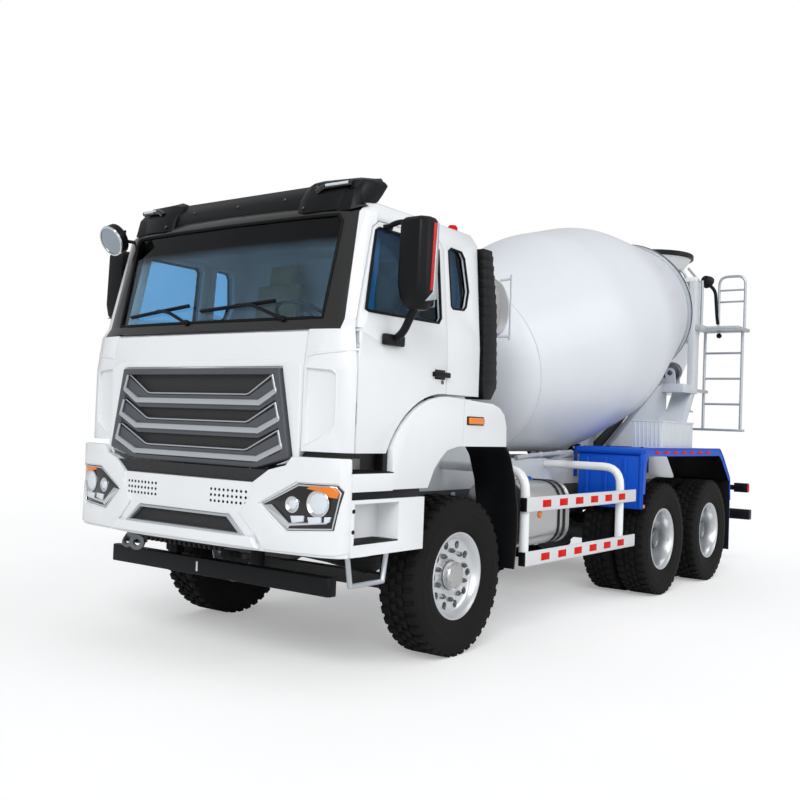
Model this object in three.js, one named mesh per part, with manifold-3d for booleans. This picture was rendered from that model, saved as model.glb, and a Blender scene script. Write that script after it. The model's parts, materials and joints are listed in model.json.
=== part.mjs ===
// Concrete mixer truck: a three-axle forward-control lorry with a revolving drum.
// Millimetres, +Z up. The truck faces -Y and its left side is +X. Every place below is
// measured from the ground point under the front axle; the last group moves that point so
// that the truck is centred over the origin.

import * as THREE from 'three';
import { mergeVertices } from 'three/addons/utils/BufferGeometryUtils.js';
import Module from 'manifold-3d';

const wasm = await Module();
wasm.setup();

// ---------------------------------------------------------------- driving dimensions

const FRONT_AXLE_Y = -2614; // where the front axle stands in the finished frame
const SEAT_GAP = 0.3; // between pieces that touch
const SWING_GAP = 6; // between pieces that move past each other

const WHEELBASE = 3625;
const BOGIE_SPACING = 1350;
const AXLE_Z = 545; // also the radius of a standing tyre
const TYRE_WIDTH = 300;
const TYRE_TREAD_WIDTH = 250;
const TYRE_BEAD_R = 287;
const RIM_LIP_R = 300;
const RIM_WIDTH = 230;
const FRONT_WHEEL_X = 1050;
const OUTER_WHEEL_X = 1100;
const DUAL_SPACING = 340;
const KINGPIN_X = 860;
const STEER_CLEAR_R = 655; // round a kingpin, kept free for the steered tyre

const FRAME_OUTER_X = 430;
const FRAME_FLANGE = 80;
const FRAME_BOTTOM_Z = 770;
const FRAME_TOP_Z = 1050;
const FRAME_FRONT_Y = -1200;
const FRAME_REAR_Y = 6450;
const MIXER_BEAM_TOP_Z = 1300;

const CAB_HALF_WIDTH = 1215;
const CAB_REAR_Y = 180;
const CAB_UNDER_Z = 1385;
const CAB_REAR_UNDER_Z = 1760;
const CAB_WALL = 65;
const CAB_PIVOT_Y = -1325;
const CAB_PIVOT_Z = 1150;
const DOOR_FRONT_Y = -1205;
const DOOR_REAR_Y = -280;
const DOOR_TOP_Z = 2795;
const FLAP_HALF_WIDTH = 890;
const FLAP_TOP_Z = 2100;
const FLAP_BOTTOM_Z = 1263;
const FLAP_THICKNESS = 60;
const BODY_HALF_WIDTH = 1245;

const ARCH_Y = -298; // centre of the arc between cab and front wing
const ARCH_Z = 1092;
const ARCH_R = 685;
const WING_TOP_Z = 1742;

const DRUM_TILT = THREE.MathUtils.degToRad(14.7);
const DRUM_SEAM_Y = 1823; // centre of the seam between the drum's head and its front cone
const DRUM_SEAM_Z = 2105;
const DRUM_HEAD_DEPTH = 320;
const DRUM_SEAM_R = 788;
const DRUM_R = 1112;
const DRUM_CYLINDER_START = 1262; // distances along the drum's axis from the seam
const DRUM_CYLINDER_END = 2263;
const DRUM_RING_AT = 3719;
const DRUM_RING_SKIN_R = 764;
const DRUM_MOUTH_AT = 4150;
const DRUM_MOUTH_R = 560;
const DRUM_WALL = 10;
const RING_HEIGHT = 35;
const RING_WIDTH = 80;
const ROLLER_R = 110;
const ROLLER_LENGTH = 90;
const ROLLER_ANGLE = THREE.MathUtils.degToRad(35);
const GEARBOX_R = 200;

const CHUTE_Y = 6330; // the chute swings about this upright line
const CHUTE_HINGE_Z = 1850;
const CHUTE_R = 210;
const CHUTE_LENGTH = 1330;
const CHUTE_REST_TILT = THREE.MathUtils.degToRad(25);
const HOPPER_Y = 6150;
const HOPPER_TOP_Z = 3835;
const HOPPER_R = 500;
const HOPPER_SIDES = 24;
const COLUMN_X = 600;

// ---------------------------------------------------------------- finishes

const finish = (color, roughness, metalness) =>
  new THREE.MeshStandardMaterial({ color, roughness, metalness });
const WHITE = finish(0xf2f3f3, 0.3, 0);
const BLACK = finish(0x17181a, 0.6, 0);
const DARK = finish(0x2c2e31, 0.55, 0.2);
const BLUE = finish(0x1257c9, 0.35, 0);
const RUBBER = finish(0x1b1b1c, 0.85, 0);
const ALLOY = finish(0xc9ccd0, 0.3, 0.9);
const SILVER = finish(0xb5b9be, 0.4, 0.8);
const STEEL = finish(0x8b8f94, 0.4, 0.9);
const GLASS = finish(0x9fc2d8, 0.08, 0);
const BEIGE = finish(0xcfc6b8, 0.8, 0);
const GREY = finish(0xc4c8cc, 0.45, 0);

// ---------------------------------------------------------------- solids from geometry

// A closed geometry as a solid with its faces pointing out.
function solid(geometry) {
  const bare = geometry.index ? geometry.toNonIndexed() : geometry.clone();
  bare.deleteAttribute('normal');
  bare.deleteAttribute('uv');
  const merged = mergeVertices(bare, 1e-4);
  const corners = merged.attributes.position.array;
  const index = merged.index.array;
  const faces = [];
  let volume = 0;
  const at = (i) => new THREE.Vector3().fromArray(corners, 3 * i);
  for (let i = 0; i < index.length; i += 3) {
    const [a, b, c] = [index[i], index[i + 1], index[i + 2]];
    if (a === b || b === c || c === a) continue;
    faces.push([a, b, c]);
    volume += at(a).dot(at(b).cross(at(c)));
  }
  const triVerts = new Uint32Array(faces.flatMap(([a, b, c]) => (volume < 0 ? [a, c, b] : [a, b, c])));
  return new wasm.Manifold(new wasm.Mesh({ numProp: 3, vertProperties: new Float32Array(corners),
    triVerts }));
}

const join = (...pieces) => pieces.reduce((whole, piece) => whole.add(piece));
const cut = (body, ...tools) => tools.reduce((left, tool) => left.subtract(tool), body);

function toGeometry(body) {
  const mesh = body.getMesh();
  const geometry = new THREE.BufferGeometry();
  geometry.setAttribute('position', new THREE.BufferAttribute(new Float32Array(mesh.vertProperties), 3));
  geometry.setIndex(new THREE.BufferAttribute(new Uint32Array(mesh.triVerts), 1));
  return geometry;
}

// The same solid on the truck's other side.
function mirrored(body) {
  const geometry = toGeometry(body);
  geometry.scale(-1, 1, 1);
  return solid(geometry);
}

function moved(body, matrix) {
  const geometry = toGeometry(body);
  geometry.applyMatrix4(matrix);
  return solid(geometry);
}

const block = (x0, x1, y0, y1, z0, z1) => {
  const box = new THREE.BoxGeometry(Math.abs(x1 - x0), Math.abs(y1 - y0), Math.abs(z1 - z0));
  return solid(box.translate((x0 + x1) / 2, (y0 + y1) / 2, (z0 + z1) / 2));
};

const AXES = {
  x: [new THREE.Vector3(0, 1, 0), new THREE.Vector3(0, 0, 1), new THREE.Vector3(1, 0, 0)],
  y: [new THREE.Vector3(0, 0, 1), new THREE.Vector3(1, 0, 0), new THREE.Vector3(0, 1, 0)],
  z: [new THREE.Vector3(1, 0, 0), new THREE.Vector3(0, 1, 0), new THREE.Vector3(0, 0, 1)],
};

// An outline extruded along an axis: [y, z] points along x, [x, z] along y, [x, y] along z.
function prism(axis, outline, from, to) {
  const points = outline.map(([u, v]) =>
    (axis === 'y' ? new THREE.Vector2(v, u) : new THREE.Vector2(u, v)));
  const shape = new THREE.Shape(points);
  const geometry = new THREE.ExtrudeGeometry(shape, { depth: to - from, bevelEnabled: false,
    curveSegments: 12 });
  geometry.translate(0, 0, from);
  return solid(geometry.applyMatrix4(new THREE.Matrix4().makeBasis(...AXES[axis])));
}

// A round bar between two points.
function rod(a, b, radius, sides = 12) {
  const start = new THREE.Vector3(...a);
  const reach = new THREE.Vector3(...b).sub(start);
  const geometry = new THREE.CylinderGeometry(radius, radius, reach.length(), sides);
  const turn = new THREE.Quaternion().setFromUnitVectors(new THREE.Vector3(0, 1, 0),
    reach.clone().normalize());
  geometry.applyQuaternion(turn);
  const middle = start.addScaledVector(reach, 0.5);
  return solid(geometry.translate(middle.x, middle.y, middle.z));
}

// A profile of [radius, distance] points turned about a line: about x, y or z through a
// point, with distance counted along that axis, or about any given direction.
function turned(profile, direction, origin, sides = 32) {
  const points = profile.map(([r, t]) => new THREE.Vector2(r, t));
  const closed = profile[0][0] > 0 ? [...points, points[0].clone()] : points;
  const geometry = new THREE.LatheGeometry(closed, sides, Math.PI / sides);
  const turn = new THREE.Quaternion().setFromUnitVectors(new THREE.Vector3(0, 1, 0),
    direction.clone().normalize());
  geometry.applyQuaternion(turn);
  return solid(geometry.translate(origin[0], origin[1], origin[2]));
}

// Closed loops with equal counts of points, skinned in order, with flat ends.
function loft(loops) {
  const count = loops[0].length;
  const points = loops.flat();
  const faces = [];
  for (let level = 0; level + 1 < loops.length; level += 1) {
    for (let i = 0; i < count; i += 1) {
      const a = level * count + i;
      const b = level * count + ((i + 1) % count);
      faces.push(a, b, b + count, a, b + count, a + count);
    }
  }
  for (const [level, flip] of [[0, true], [loops.length - 1, false]]) {
    const base = level * count;
    const middle = loops[level].reduce((sum, p) => sum.map((v, k) => v + p[k] / count), [0, 0, 0]);
    points.push(middle);
    for (let i = 0; i < count; i += 1) {
      const edge = [base + i, base + ((i + 1) % count)];
      faces.push(points.length - 1, ...(flip ? edge.reverse() : edge));
    }
  }
  const geometry = new THREE.BufferGeometry();
  geometry.setAttribute('position', new THREE.Float32BufferAttribute(points.flat(), 3));
  geometry.setIndex(faces);
  return solid(geometry);
}

// Points of an arc in a plane, from one angle to another in degrees.
function arc(u, v, radius, from, to, steps) {
  return Array.from({ length: steps + 1 }, (_, i) => {
    const angle = THREE.MathUtils.degToRad(from + ((to - from) * i) / steps);
    return [u + radius * Math.cos(angle), v + radius * Math.sin(angle)];
  });
}

// A round tube that bends along a list of points with smooth corners.
function bentTube(points, corner, radius, sides = 10) {
  const path = new THREE.CurvePath();
  const p = points.map((q) => new THREE.Vector3(...q));
  let start = p[0];
  for (let i = 1; i + 1 < p.length; i += 1) {
    const before = p[i].clone().addScaledVector(p[i - 1].clone().sub(p[i]).normalize(), corner);
    const after = p[i].clone().addScaledVector(p[i + 1].clone().sub(p[i]).normalize(), corner);
    path.add(new THREE.LineCurve3(start, before));
    path.add(new THREE.QuadraticBezierCurve3(before, p[i], after));
    start = after;
  }
  path.add(new THREE.LineCurve3(start, p[p.length - 1]));
  const round = arc(0, 0, radius, 0, 360 - 360 / sides, sides - 1);
  const ring = new THREE.Shape(round.map(([u, v]) => new THREE.Vector2(u, v)));
  return solid(new THREE.ExtrudeGeometry(ring, { steps: 5 * (p.length - 1), bevelEnabled: false,
    extrudePath: path }));
}

const ALONG_X = new THREE.Vector3(1, 0, 0);
const ALONG_Y = new THREE.Vector3(0, 1, 0);
const ALONG_Z = new THREE.Vector3(0, 0, 1);
const DRUM_AXIS = new THREE.Vector3(0, Math.cos(DRUM_TILT), Math.sin(DRUM_TILT));
const DRUM_ORIGIN = [0, DRUM_SEAM_Y, DRUM_SEAM_Z];
const MIDDLE_AXLE_Y = WHEELBASE;
const REAR_AXLE_Y = WHEELBASE + BOGIE_SPACING;
const BOGIE_Y = (MIDDLE_AXLE_Y + REAR_AXLE_Y) / 2;

const vehicle = new THREE.Group();
vehicle.position.y = FRONT_AXLE_Y;

function place(name, body, material) {
  const mesh = new THREE.Mesh(toGeometry(body.asOriginal().simplify(0.05)), material);
  mesh.name = name;
  vehicle.add(mesh);
}

function placePair(name, leftBody, material) {
  place(`${name}_left`, leftBody, material);
  place(`${name}_right`, mirrored(leftBody), material);
}

const bothSides = (body) => join(body, mirrored(body));

// ---------------------------------------------------------------- wheels

const SPINDLE_R = 64;
const HUB_BORE_R = 65.2;
const HUB_R = 140;
const RIM_BARREL_R = 265;
const WHEEL_SIDES = 24;
const SHAFT_SIDES = 16;
const flatToFlat = (radius) => radius / Math.cos(Math.PI / WHEEL_SIDES);

// Half a tyre's section from bead to tread, outwards from the tyre's middle plane.
function tyreProfile(bore, bead) {
  const half = TYRE_WIDTH / 2;
  const tread = TYRE_TREAD_WIDTH / 2;
  const side = [
    [bore, bead],
    [RIM_LIP_R + 4, bead],
    [340, half - 8],
    [AXLE_Z - 40, half],
    [AXLE_Z, tread],
  ].map(([r, t]) => [flatToFlat(r), t]);
  return [...side, ...side.map(([r, t]) => [r, -t]).reverse()];
}

// A rim's section with its disc at a distance from the middle plane.
function rimProfile(discAt, discThickness, hubRadius) {
  const edge = RIM_WIDTH / 2;
  const outer = TYRE_BEAD_R - SEAT_GAP;
  const lip = 14;
  return [
    [outer, -edge],
    [RIM_LIP_R, -edge],
    [RIM_LIP_R, -edge - lip],
    [RIM_BARREL_R, -edge - lip],
    [RIM_BARREL_R, discAt - discThickness],
    [hubRadius, discAt - discThickness],
    [hubRadius, discAt],
    [RIM_BARREL_R, discAt],
    [RIM_BARREL_R, edge + lip],
    [RIM_LIP_R, edge + lip],
    [RIM_LIP_R, edge],
    [outer, edge],
  ].map(([r, t]) => [flatToFlat(r), t]);
}

function handHoles(centreX, from, to, y) {
  const holes = [];
  for (let i = 0; i < 10; i += 1) {
    const angle = (i * Math.PI) / 5;
    const at = [y + 208 * Math.cos(angle), AXLE_Z + 208 * Math.sin(angle)];
    holes.push(rod([centreX + from, ...at], [centreX + to, ...at], 29, 6));
  }
  return join(...holes);
}

const SPINDLE_END_X = 1110;

function frontWheel() {
  const origin = [FRONT_WHEEL_X, 0, AXLE_Z];
  const tyre = turned(tyreProfile(TYRE_BEAD_R, RIM_WIDTH / 2 - SEAT_GAP), ALONG_X, origin, WHEEL_SIDES);
  const disc = turned(rimProfile(62, 16, 100), ALONG_X, origin, WHEEL_SIDES);
  const hub = turned([[HUB_BORE_R, -60], [HUB_R, -60], [HUB_R, 62], [95, 64], [95, 116], [0, 124],
    [0, 70], [HUB_BORE_R, 70]],
    ALONG_X, origin, WHEEL_SIDES);
  return { tyre, rim: cut(join(disc, hub), handHoles(FRONT_WHEEL_X, 30, 80, 0)) };
}

// The twin wheels of one end of a driven axle, tyre and rim in one. Their discs meet back to
// back, and the outer wheel carries the hub.
function twinWheels(y) {
  const half = TYRE_WIDTH / 2;
  const tread = TYRE_TREAD_WIDTH / 2;
  const lip = RIM_WIDTH / 2 + 14;
  const meet = DUAL_SPACING / 2 - SEAT_GAP / 2;
  const disc = 14;
  const tyre = [[RIM_LIP_R, -lip], [AXLE_Z - 40, -half], [AXLE_Z, -tread], [AXLE_Z, tread],
    [AXLE_Z - 40, half], [RIM_LIP_R, lip]];
  const outer = [
    [HUB_R, -meet], [RIM_BARREL_R, -meet], ...tyre, [RIM_BARREL_R, lip], [RIM_BARREL_R, disc - meet],
    [105, disc - meet],
  ].map(([r, t]) => [flatToFlat(r), t]);
  const hub = [[105, 60], [0, 60], [0, 20], [HUB_BORE_R, 20], [HUB_BORE_R, -360], [HUB_R, -360]];
  const inner = [
    [RIM_BARREL_R, meet], [flatToFlat(HUB_R) + SEAT_GAP, meet],
    [flatToFlat(HUB_R) + SEAT_GAP, meet - disc],
    [RIM_BARREL_R, meet - disc], [RIM_BARREL_R, -lip], ...tyre,
  ].map(([r, t], i) => [i === 1 || i === 2 ? r / Math.cos(Math.PI / WHEEL_SIDES) : flatToFlat(r), t]);
  return {
    outer: turned([...outer, ...hub], ALONG_X, [OUTER_WHEEL_X, y, AXLE_Z], WHEEL_SIDES),
    inner: turned(inner, ALONG_X, [OUTER_WHEEL_X - DUAL_SPACING, y, AXLE_Z], WHEEL_SIDES),
  };
}

const front = frontWheel();
placePair('front_tyre', front.tyre, RUBBER);
placePair('front_rim', front.rim, ALLOY);

for (const [name, y] of [['middle', MIDDLE_AXLE_Y], ['rear', REAR_AXLE_Y]]) {
  const { outer, inner } = twinWheels(y);
  placePair(`${name}_outer_wheel`, outer, RUBBER);
  placePair(`${name}_inner_wheel`, inner, RUBBER);
}

// ---------------------------------------------------------------- axles and steering

const SPRING_X = 390;
const KINGPIN_R = 30;
const EYE_R = 60;
const EYE_HALF = 55;

function frontAxle() {
  const beam = prism('y', [
    [-KINGPIN_X, AXLE_Z - 50], [-KINGPIN_X, AXLE_Z + 50], [-700, AXLE_Z + 40], [-560, AXLE_Z - 60],
    [560, AXLE_Z - 60],
    [700, AXLE_Z + 40], [KINGPIN_X, AXLE_Z + 50], [KINGPIN_X, AXLE_Z - 50], [720, AXLE_Z - 60],
    [580, AXLE_Z - 160],
    [-580, AXLE_Z - 160], [-720, AXLE_Z - 60],
  ], -45, 45);
  const eye = rod([KINGPIN_X, 0, AXLE_Z - EYE_HALF], [KINGPIN_X, 0, AXLE_Z + EYE_HALF], EYE_R, 16);
  const bore = rod([KINGPIN_X, 0, AXLE_Z - 200], [KINGPIN_X, 0, AXLE_Z + 200], KINGPIN_R + 0.9,
    SHAFT_SIDES);
  const top = AXLE_Z - 60;
  const spring = prism('x', [
    [-780, 668], [-820, 668], [-820, 700], [-780, 700], [-400, 620], [-60, top + 100], [60, top + 100],
    [400, 620],
    [780, 700], [820, 700], [820, 668], [780, 668], [400, 580], [60, top - 5], [-60, top - 5],
    [-400, 580],
  ], SPRING_X - 36, SPRING_X + 36);
  return cut(join(beam, bothSides(eye), bothSides(spring)), bothSides(bore));
}
place('front_axle', frontAxle(), DARK);

function knuckle() {
  const lugOut = KINGPIN_X + EYE_R + SWING_GAP + 4;
  const pin = rod([KINGPIN_X, 0, AXLE_Z - 100], [KINGPIN_X, 0, AXLE_Z + 100], KINGPIN_R, SHAFT_SIDES);
  const lug = (z0, z1) => join(
    rod([KINGPIN_X, 0, z0], [KINGPIN_X, 0, z1], 52, 12),
    block(KINGPIN_X, lugOut + 20, -50, 50, z0, z1),
  );
  const gap = EYE_HALF + 5;
  const body = block(lugOut, lugOut + 20, -52, 52, AXLE_Z - 100, AXLE_Z + 100);
  const plate = rod([lugOut + 5, 0, AXLE_Z], [lugOut + 17, 0, AXLE_Z], 200, 16);
  const spindle = turned([[0, lugOut], [SPINDLE_R, lugOut], [SPINDLE_R, SPINDLE_END_X],
    [0, SPINDLE_END_X]],
    ALONG_X, [0, 0, AXLE_Z], SHAFT_SIDES);
  return join(pin, lug(AXLE_Z + gap, AXLE_Z + 100), lug(AXLE_Z - 100, AXLE_Z - gap), body, plate,
    spindle);
}
placePair('knuckle', knuckle(), DARK);

const AXLE_TUBE_R = 75;
const AXLE_PAD_TOP_Z = 650;
const BOGIE_SPRING_X = 500;

function drivenAxle(y) {
  const end = OUTER_WHEEL_X - 5;
  const tubeEnd = OUTER_WHEEL_X - 366;
  const housing = turned([
    [0, -end], [SPINDLE_R, -end], [SPINDLE_R, -tubeEnd], [AXLE_TUBE_R, -tubeEnd], [AXLE_TUBE_R, -270],
    [225, -80],
    [225, 80], [AXLE_TUBE_R, 270], [AXLE_TUBE_R, tubeEnd], [SPINDLE_R, tubeEnd], [SPINDLE_R, end],
    [0, end],
  ], ALONG_X, [0, y, AXLE_Z], SHAFT_SIDES);
  const nose = turned([[0, -300], [75, -300], [75, -270], [130, -150], [130, 0], [0, 0]], ALONG_Y,
    [0, y, AXLE_Z + 30], 12);
  const pad = block(BOGIE_SPRING_X - 50, BOGIE_SPRING_X + 50, y - 60, y + 60, AXLE_Z, AXLE_PAD_TOP_Z);
  return join(housing, nose, bothSides(pad));
}
place('middle_axle', drivenAxle(MIDDLE_AXLE_Y), DARK);
place('rear_axle', drivenAxle(REAR_AXLE_Y), DARK);

const TRUNNION_R = 55;
const TRUNNION_Z = 500;

function rearSprings() {
  const half = BOGIE_SPACING / 2;
  const low = AXLE_PAD_TOP_Z + SEAT_GAP;
  const pack = prism('x', [
    [BOGIE_Y - half - 60, low], [BOGIE_Y - half + 60, low], [BOGIE_Y - 90, TRUNNION_Z + 90],
    [BOGIE_Y - 90, TRUNNION_Z],
    [BOGIE_Y + 90, TRUNNION_Z], [BOGIE_Y + 90, TRUNNION_Z + 90], [BOGIE_Y + half - 60, low],
    [BOGIE_Y + half + 60, low],
    [BOGIE_Y + half + 60, low + 35], [BOGIE_Y + 120, 735], [BOGIE_Y - 120, 735],
    [BOGIE_Y - half - 60, low + 35],
  ], BOGIE_SPRING_X - 42, BOGIE_SPRING_X + 42);
  return join(bothSides(pack), rod([-560, BOGIE_Y, TRUNNION_Z], [560, BOGIE_Y, TRUNNION_Z], TRUNNION_R,
    16));
}
place('rear_springs', rearSprings(), DARK);

// ---------------------------------------------------------------- chassis

const FRAME_INNER_X = FRAME_OUTER_X - FRAME_FLANGE;

function chassisFrame() {
  const [out, inn, low, top] = [FRAME_OUTER_X, FRAME_INNER_X, FRAME_BOTTOM_Z, FRAME_TOP_Z];
  const rail = prism('y', [
    [inn, low], [out, low], [out, top], [inn, top], [inn, top - 12], [out - 10, top - 12],
    [out - 10, low + 12], [inn, low + 12],
  ], FRAME_FRONT_Y, FRAME_REAR_Y);
  const member = (y, z0, z1) => block(-out + 5, out - 5, y, y + 60, z0, z1);
  const trunnionLeg = block(inn, out, BOGIE_Y - 90, BOGIE_Y + 90, TRUNNION_Z - 80, low + 5);
  const springHanger = (y) => block(SPRING_X - 40, SPRING_X + 40, y - 45, y + 45, 700 + SEAT_GAP,
    low + 5);
  const horn = block(inn, out, -1420, FRAME_FRONT_Y + 20, low + 20, low + 130);
  const hingeCheek = (x) => prism('x', [
    [FRAME_FRONT_Y + 60, low + 60], [FRAME_FRONT_Y + 60, top], [CAB_PIVOT_Y + 60, CAB_PIVOT_Z + 36],
    [CAB_PIVOT_Y - 20, CAB_PIVOT_Z + 36], [CAB_PIVOT_Y - 32, CAB_PIVOT_Z],
    [CAB_PIVOT_Y - 32, CAB_PIVOT_Z - 50],
  ], x - 6, x + 6);
  const hingePin = rod([SPRING_X - 40, CAB_PIVOT_Y, CAB_PIVOT_Z],
    [SPRING_X + 40, CAB_PIVOT_Y, CAB_PIVOT_Z], HINGE_PIN_R, SHAFT_SIDES);
  const rearPost = block(inn, out, 90, 160, top - 20, CAB_REAR_UNDER_Z - SEAT_GAP);
  const rearBar = block(-out, out, 90, 160, CAB_REAR_UNDER_Z - 70, CAB_REAR_UNDER_Z - SEAT_GAP);
  const side = join(rail, trunnionLeg, springHanger(-800), springHanger(800), horn,
    hingeCheek(SPRING_X - 34), hingeCheek(SPRING_X + 34), hingePin, rearPost);
  const trunnionBore = rod([-600, BOGIE_Y, TRUNNION_Z], [600, BOGIE_Y, TRUNNION_Z], TRUNNION_R + 0.5, 16);
  const members = [member(-1190, 790, 850), member(1500, 880, 1040), member(2500, 880, 1040),
    member(3080, 880, 1040),
    member(BOGIE_Y - 30, 820, 1040), member(5400, 880, 1040), member(FRAME_REAR_Y - 60, 790, 1040)];
  return cut(join(bothSides(side), rearBar, ...members), trunnionBore,
    bumperBand(0, -SEAT_GAP, 700, 1400));
}

// The bumper's plan: a band that follows the truck's nose, its front and back faces moved
// in or out by the given amounts.
const BUMPER_THICKNESS = 60;
const BUMPER_BOTTOM_Z = 775;
const BUMPER_TOP_Z = 1352;
const NOSE = [[0, -1440], [330, -1440], [520, -1430], [700, -1402], [1090, -1352], [1190, -1308],
  [1232, -1256]];

function bumperBand(frontInset, backInset, z0, z1) {
  const depth = BUMPER_THICKNESS - backInset;
  const outer = NOSE.map(([x, y], i) => [x - (i > 3 ? frontInset : 0), y + frontInset]);
  const inner = [[0, -1440 + depth], [330, -1440 + depth], [520, -1430 + depth], [690, -1402 + depth],
    [1060, -1352 + depth],
    [1150 - backInset, -1308 + depth * 0.8], [1232 - depth, -1256]];
  const right = [...outer, ...inner.reverse()];
  const half = prism('z', right, z0, z1);
  return bothSides(half);
}

const HEADLIGHT = [[661, 1059], [925, 1196], [1180, 1196], [1205, 1160], [1165, 936], [850, 912]];
const grown = (outline, by) => {
  const n = outline.length;
  const middle = outline.reduce((s, p) => [s[0] + p[0] / n, s[1] + p[1] / n], [0, 0]);
  return outline.map(([u, v]) => {
    const reach = Math.hypot(u - middle[0], v - middle[1]);
    return [u + ((u - middle[0]) * by) / reach, v + ((v - middle[1]) * by) / reach];
  });
};

function frontBumper() {
  const band = bumperBand(0, 0, BUMPER_BOTTOM_Z, BUMPER_TOP_Z);
  const topNotch = prism('y', [[-882, 1400], [-876, 1297], [-838, 1295], [-719, 1263], [-608, 1183],
    [608, 1183], [719, 1263],
    [838, 1295], [876, 1297], [882, 1400]], -1500, -1200);
  const intake = prism('y', [[-554, 855], [-420, 977], [420, 977], [554, 855]], -1500, -1440 + 42);
  const pocket = prism('y', HEADLIGHT, -1600, -1200);
  return cut(band, topNotch, intake, bothSides(pocket));
}
place('front_bumper', frontBumper(), WHITE);

const headlight = prism('y', grown(HEADLIGHT, -0.6), -1600, -1200).intersect(bumperBand(6, 0, 800, 1300));
placePair('headlight', headlight, GLASS);

const HINGE_PIN_R = 22;
place('chassis_frame', chassisFrame(), DARK);

function frontUnderrunBar() {
  const bar = prism('z', [[-1030, -1110], [-1030, -1160], [-1010, -1180], [1010, -1180], [1030, -1160],
    [1030, -1110]], 515, 632);
  const hanger = block(FRAME_INNER_X, FRAME_OUTER_X, -1165, -1110, 600, FRAME_BOTTOM_Z - SEAT_GAP);
  return join(bar, bothSides(hanger));
}
place('front_underrun_bar', frontUnderrunBar(), BLACK);

const ENGINE_REAR_Y = 400;
place('engine_block', block(-FRAME_INNER_X + SEAT_GAP, FRAME_INNER_X - SEAT_GAP, -800, ENGINE_REAR_Y,
  640, 1400), DARK);

const radiator = join(
  block(-330, 330, -1120, -1010, 860, 1320),
  block(-FRAME_OUTER_X + 10 + SEAT_GAP, FRAME_OUTER_X - 10 - SEAT_GAP, -1100, -1030, 900, 960),
);
place('radiator', radiator, DARK);

function driveline() {
  const box = block(-190, 190, ENGINE_REAR_Y + SEAT_GAP, 1000, 660, 1040);
  const shaft = rod([0, 980, 830], [0, MIDDLE_AXLE_Y - 305.8, AXLE_Z + 32], 50, 12);
  return join(box, shaft);
}
place('driveline', driveline(), DARK);

// ---------------------------------------------------------------- tanks and boxes

const TANK_Y = [935, 1700];

function fuelTank() {
  const [x, z, r] = [905, 897, 255];
  const corner = 150;
  const outline = [
    ...arc(x + r - corner, z + r - corner, corner, 0, 90, 5),
    ...arc(x - r + corner, z + r - corner, corner, 90, 180, 5),
    ...arc(x - r + corner, z - r + corner, corner, 180, 270, 5),
    ...arc(x + r - corner, z - r + corner, corner, 270, 360, 5),
  ];
  const tank = prism('y', outline, ...TANK_Y);
  const arm = (y) => join(
    block(FRAME_OUTER_X + SEAT_GAP, FRAME_OUTER_X + 14, y, y + 60, 620, 1030),
    block(FRAME_OUTER_X + SEAT_GAP, x + 40, y, y + 60, 615, z - r + 4),
    block(FRAME_OUTER_X + SEAT_GAP, x - r + 4, y, y + 60, 860, 920),
  );
  return join(tank, arm(1010), arm(1530));
}
place('fuel_tank', fuelTank(), ALLOY);

function batteryBox() {
  const box = prism('y', [[-1190, 700], [-1150, 640], [-640, 640], [-640, 1120], [-1150, 1120],
    [-1190, 1080]], ...TANK_Y);
  const arm = (y) => block(-650, -FRAME_OUTER_X - SEAT_GAP, y, y + 60, 800, 1000);
  return join(box, arm(1010), arm(1530));
}
place('battery_box', batteryBox(), DARK);

// ---------------------------------------------------------------- side guards and wings

const GUARD_Y = [835, 2895];
const GUARD_TUBE_R = 38;

function sideGuard() {
  const x = BODY_HALF_WIDTH - 17 - GUARD_TUBE_R + 4;
  const top = MIXER_BEAM_TOP_Z - 45;
  const post = (y) => bentTube([[FRAME_OUTER_X + SEAT_GAP, y, top], [x, y, top], [x, y, 560]], 170,
    GUARD_TUBE_R, 8);
  const rail = (z) => block(BODY_HALF_WIDTH - 17, BODY_HALF_WIDTH, ...GUARD_Y, z, z + 112);
  return join(post(885), post(2640), rail(533), rail(942));
}
placePair('side_guard', sideGuard(), SILVER);

const WING_X = [905, BODY_HALF_WIDTH];
const STEP_BACK_X = 1050;

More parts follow.
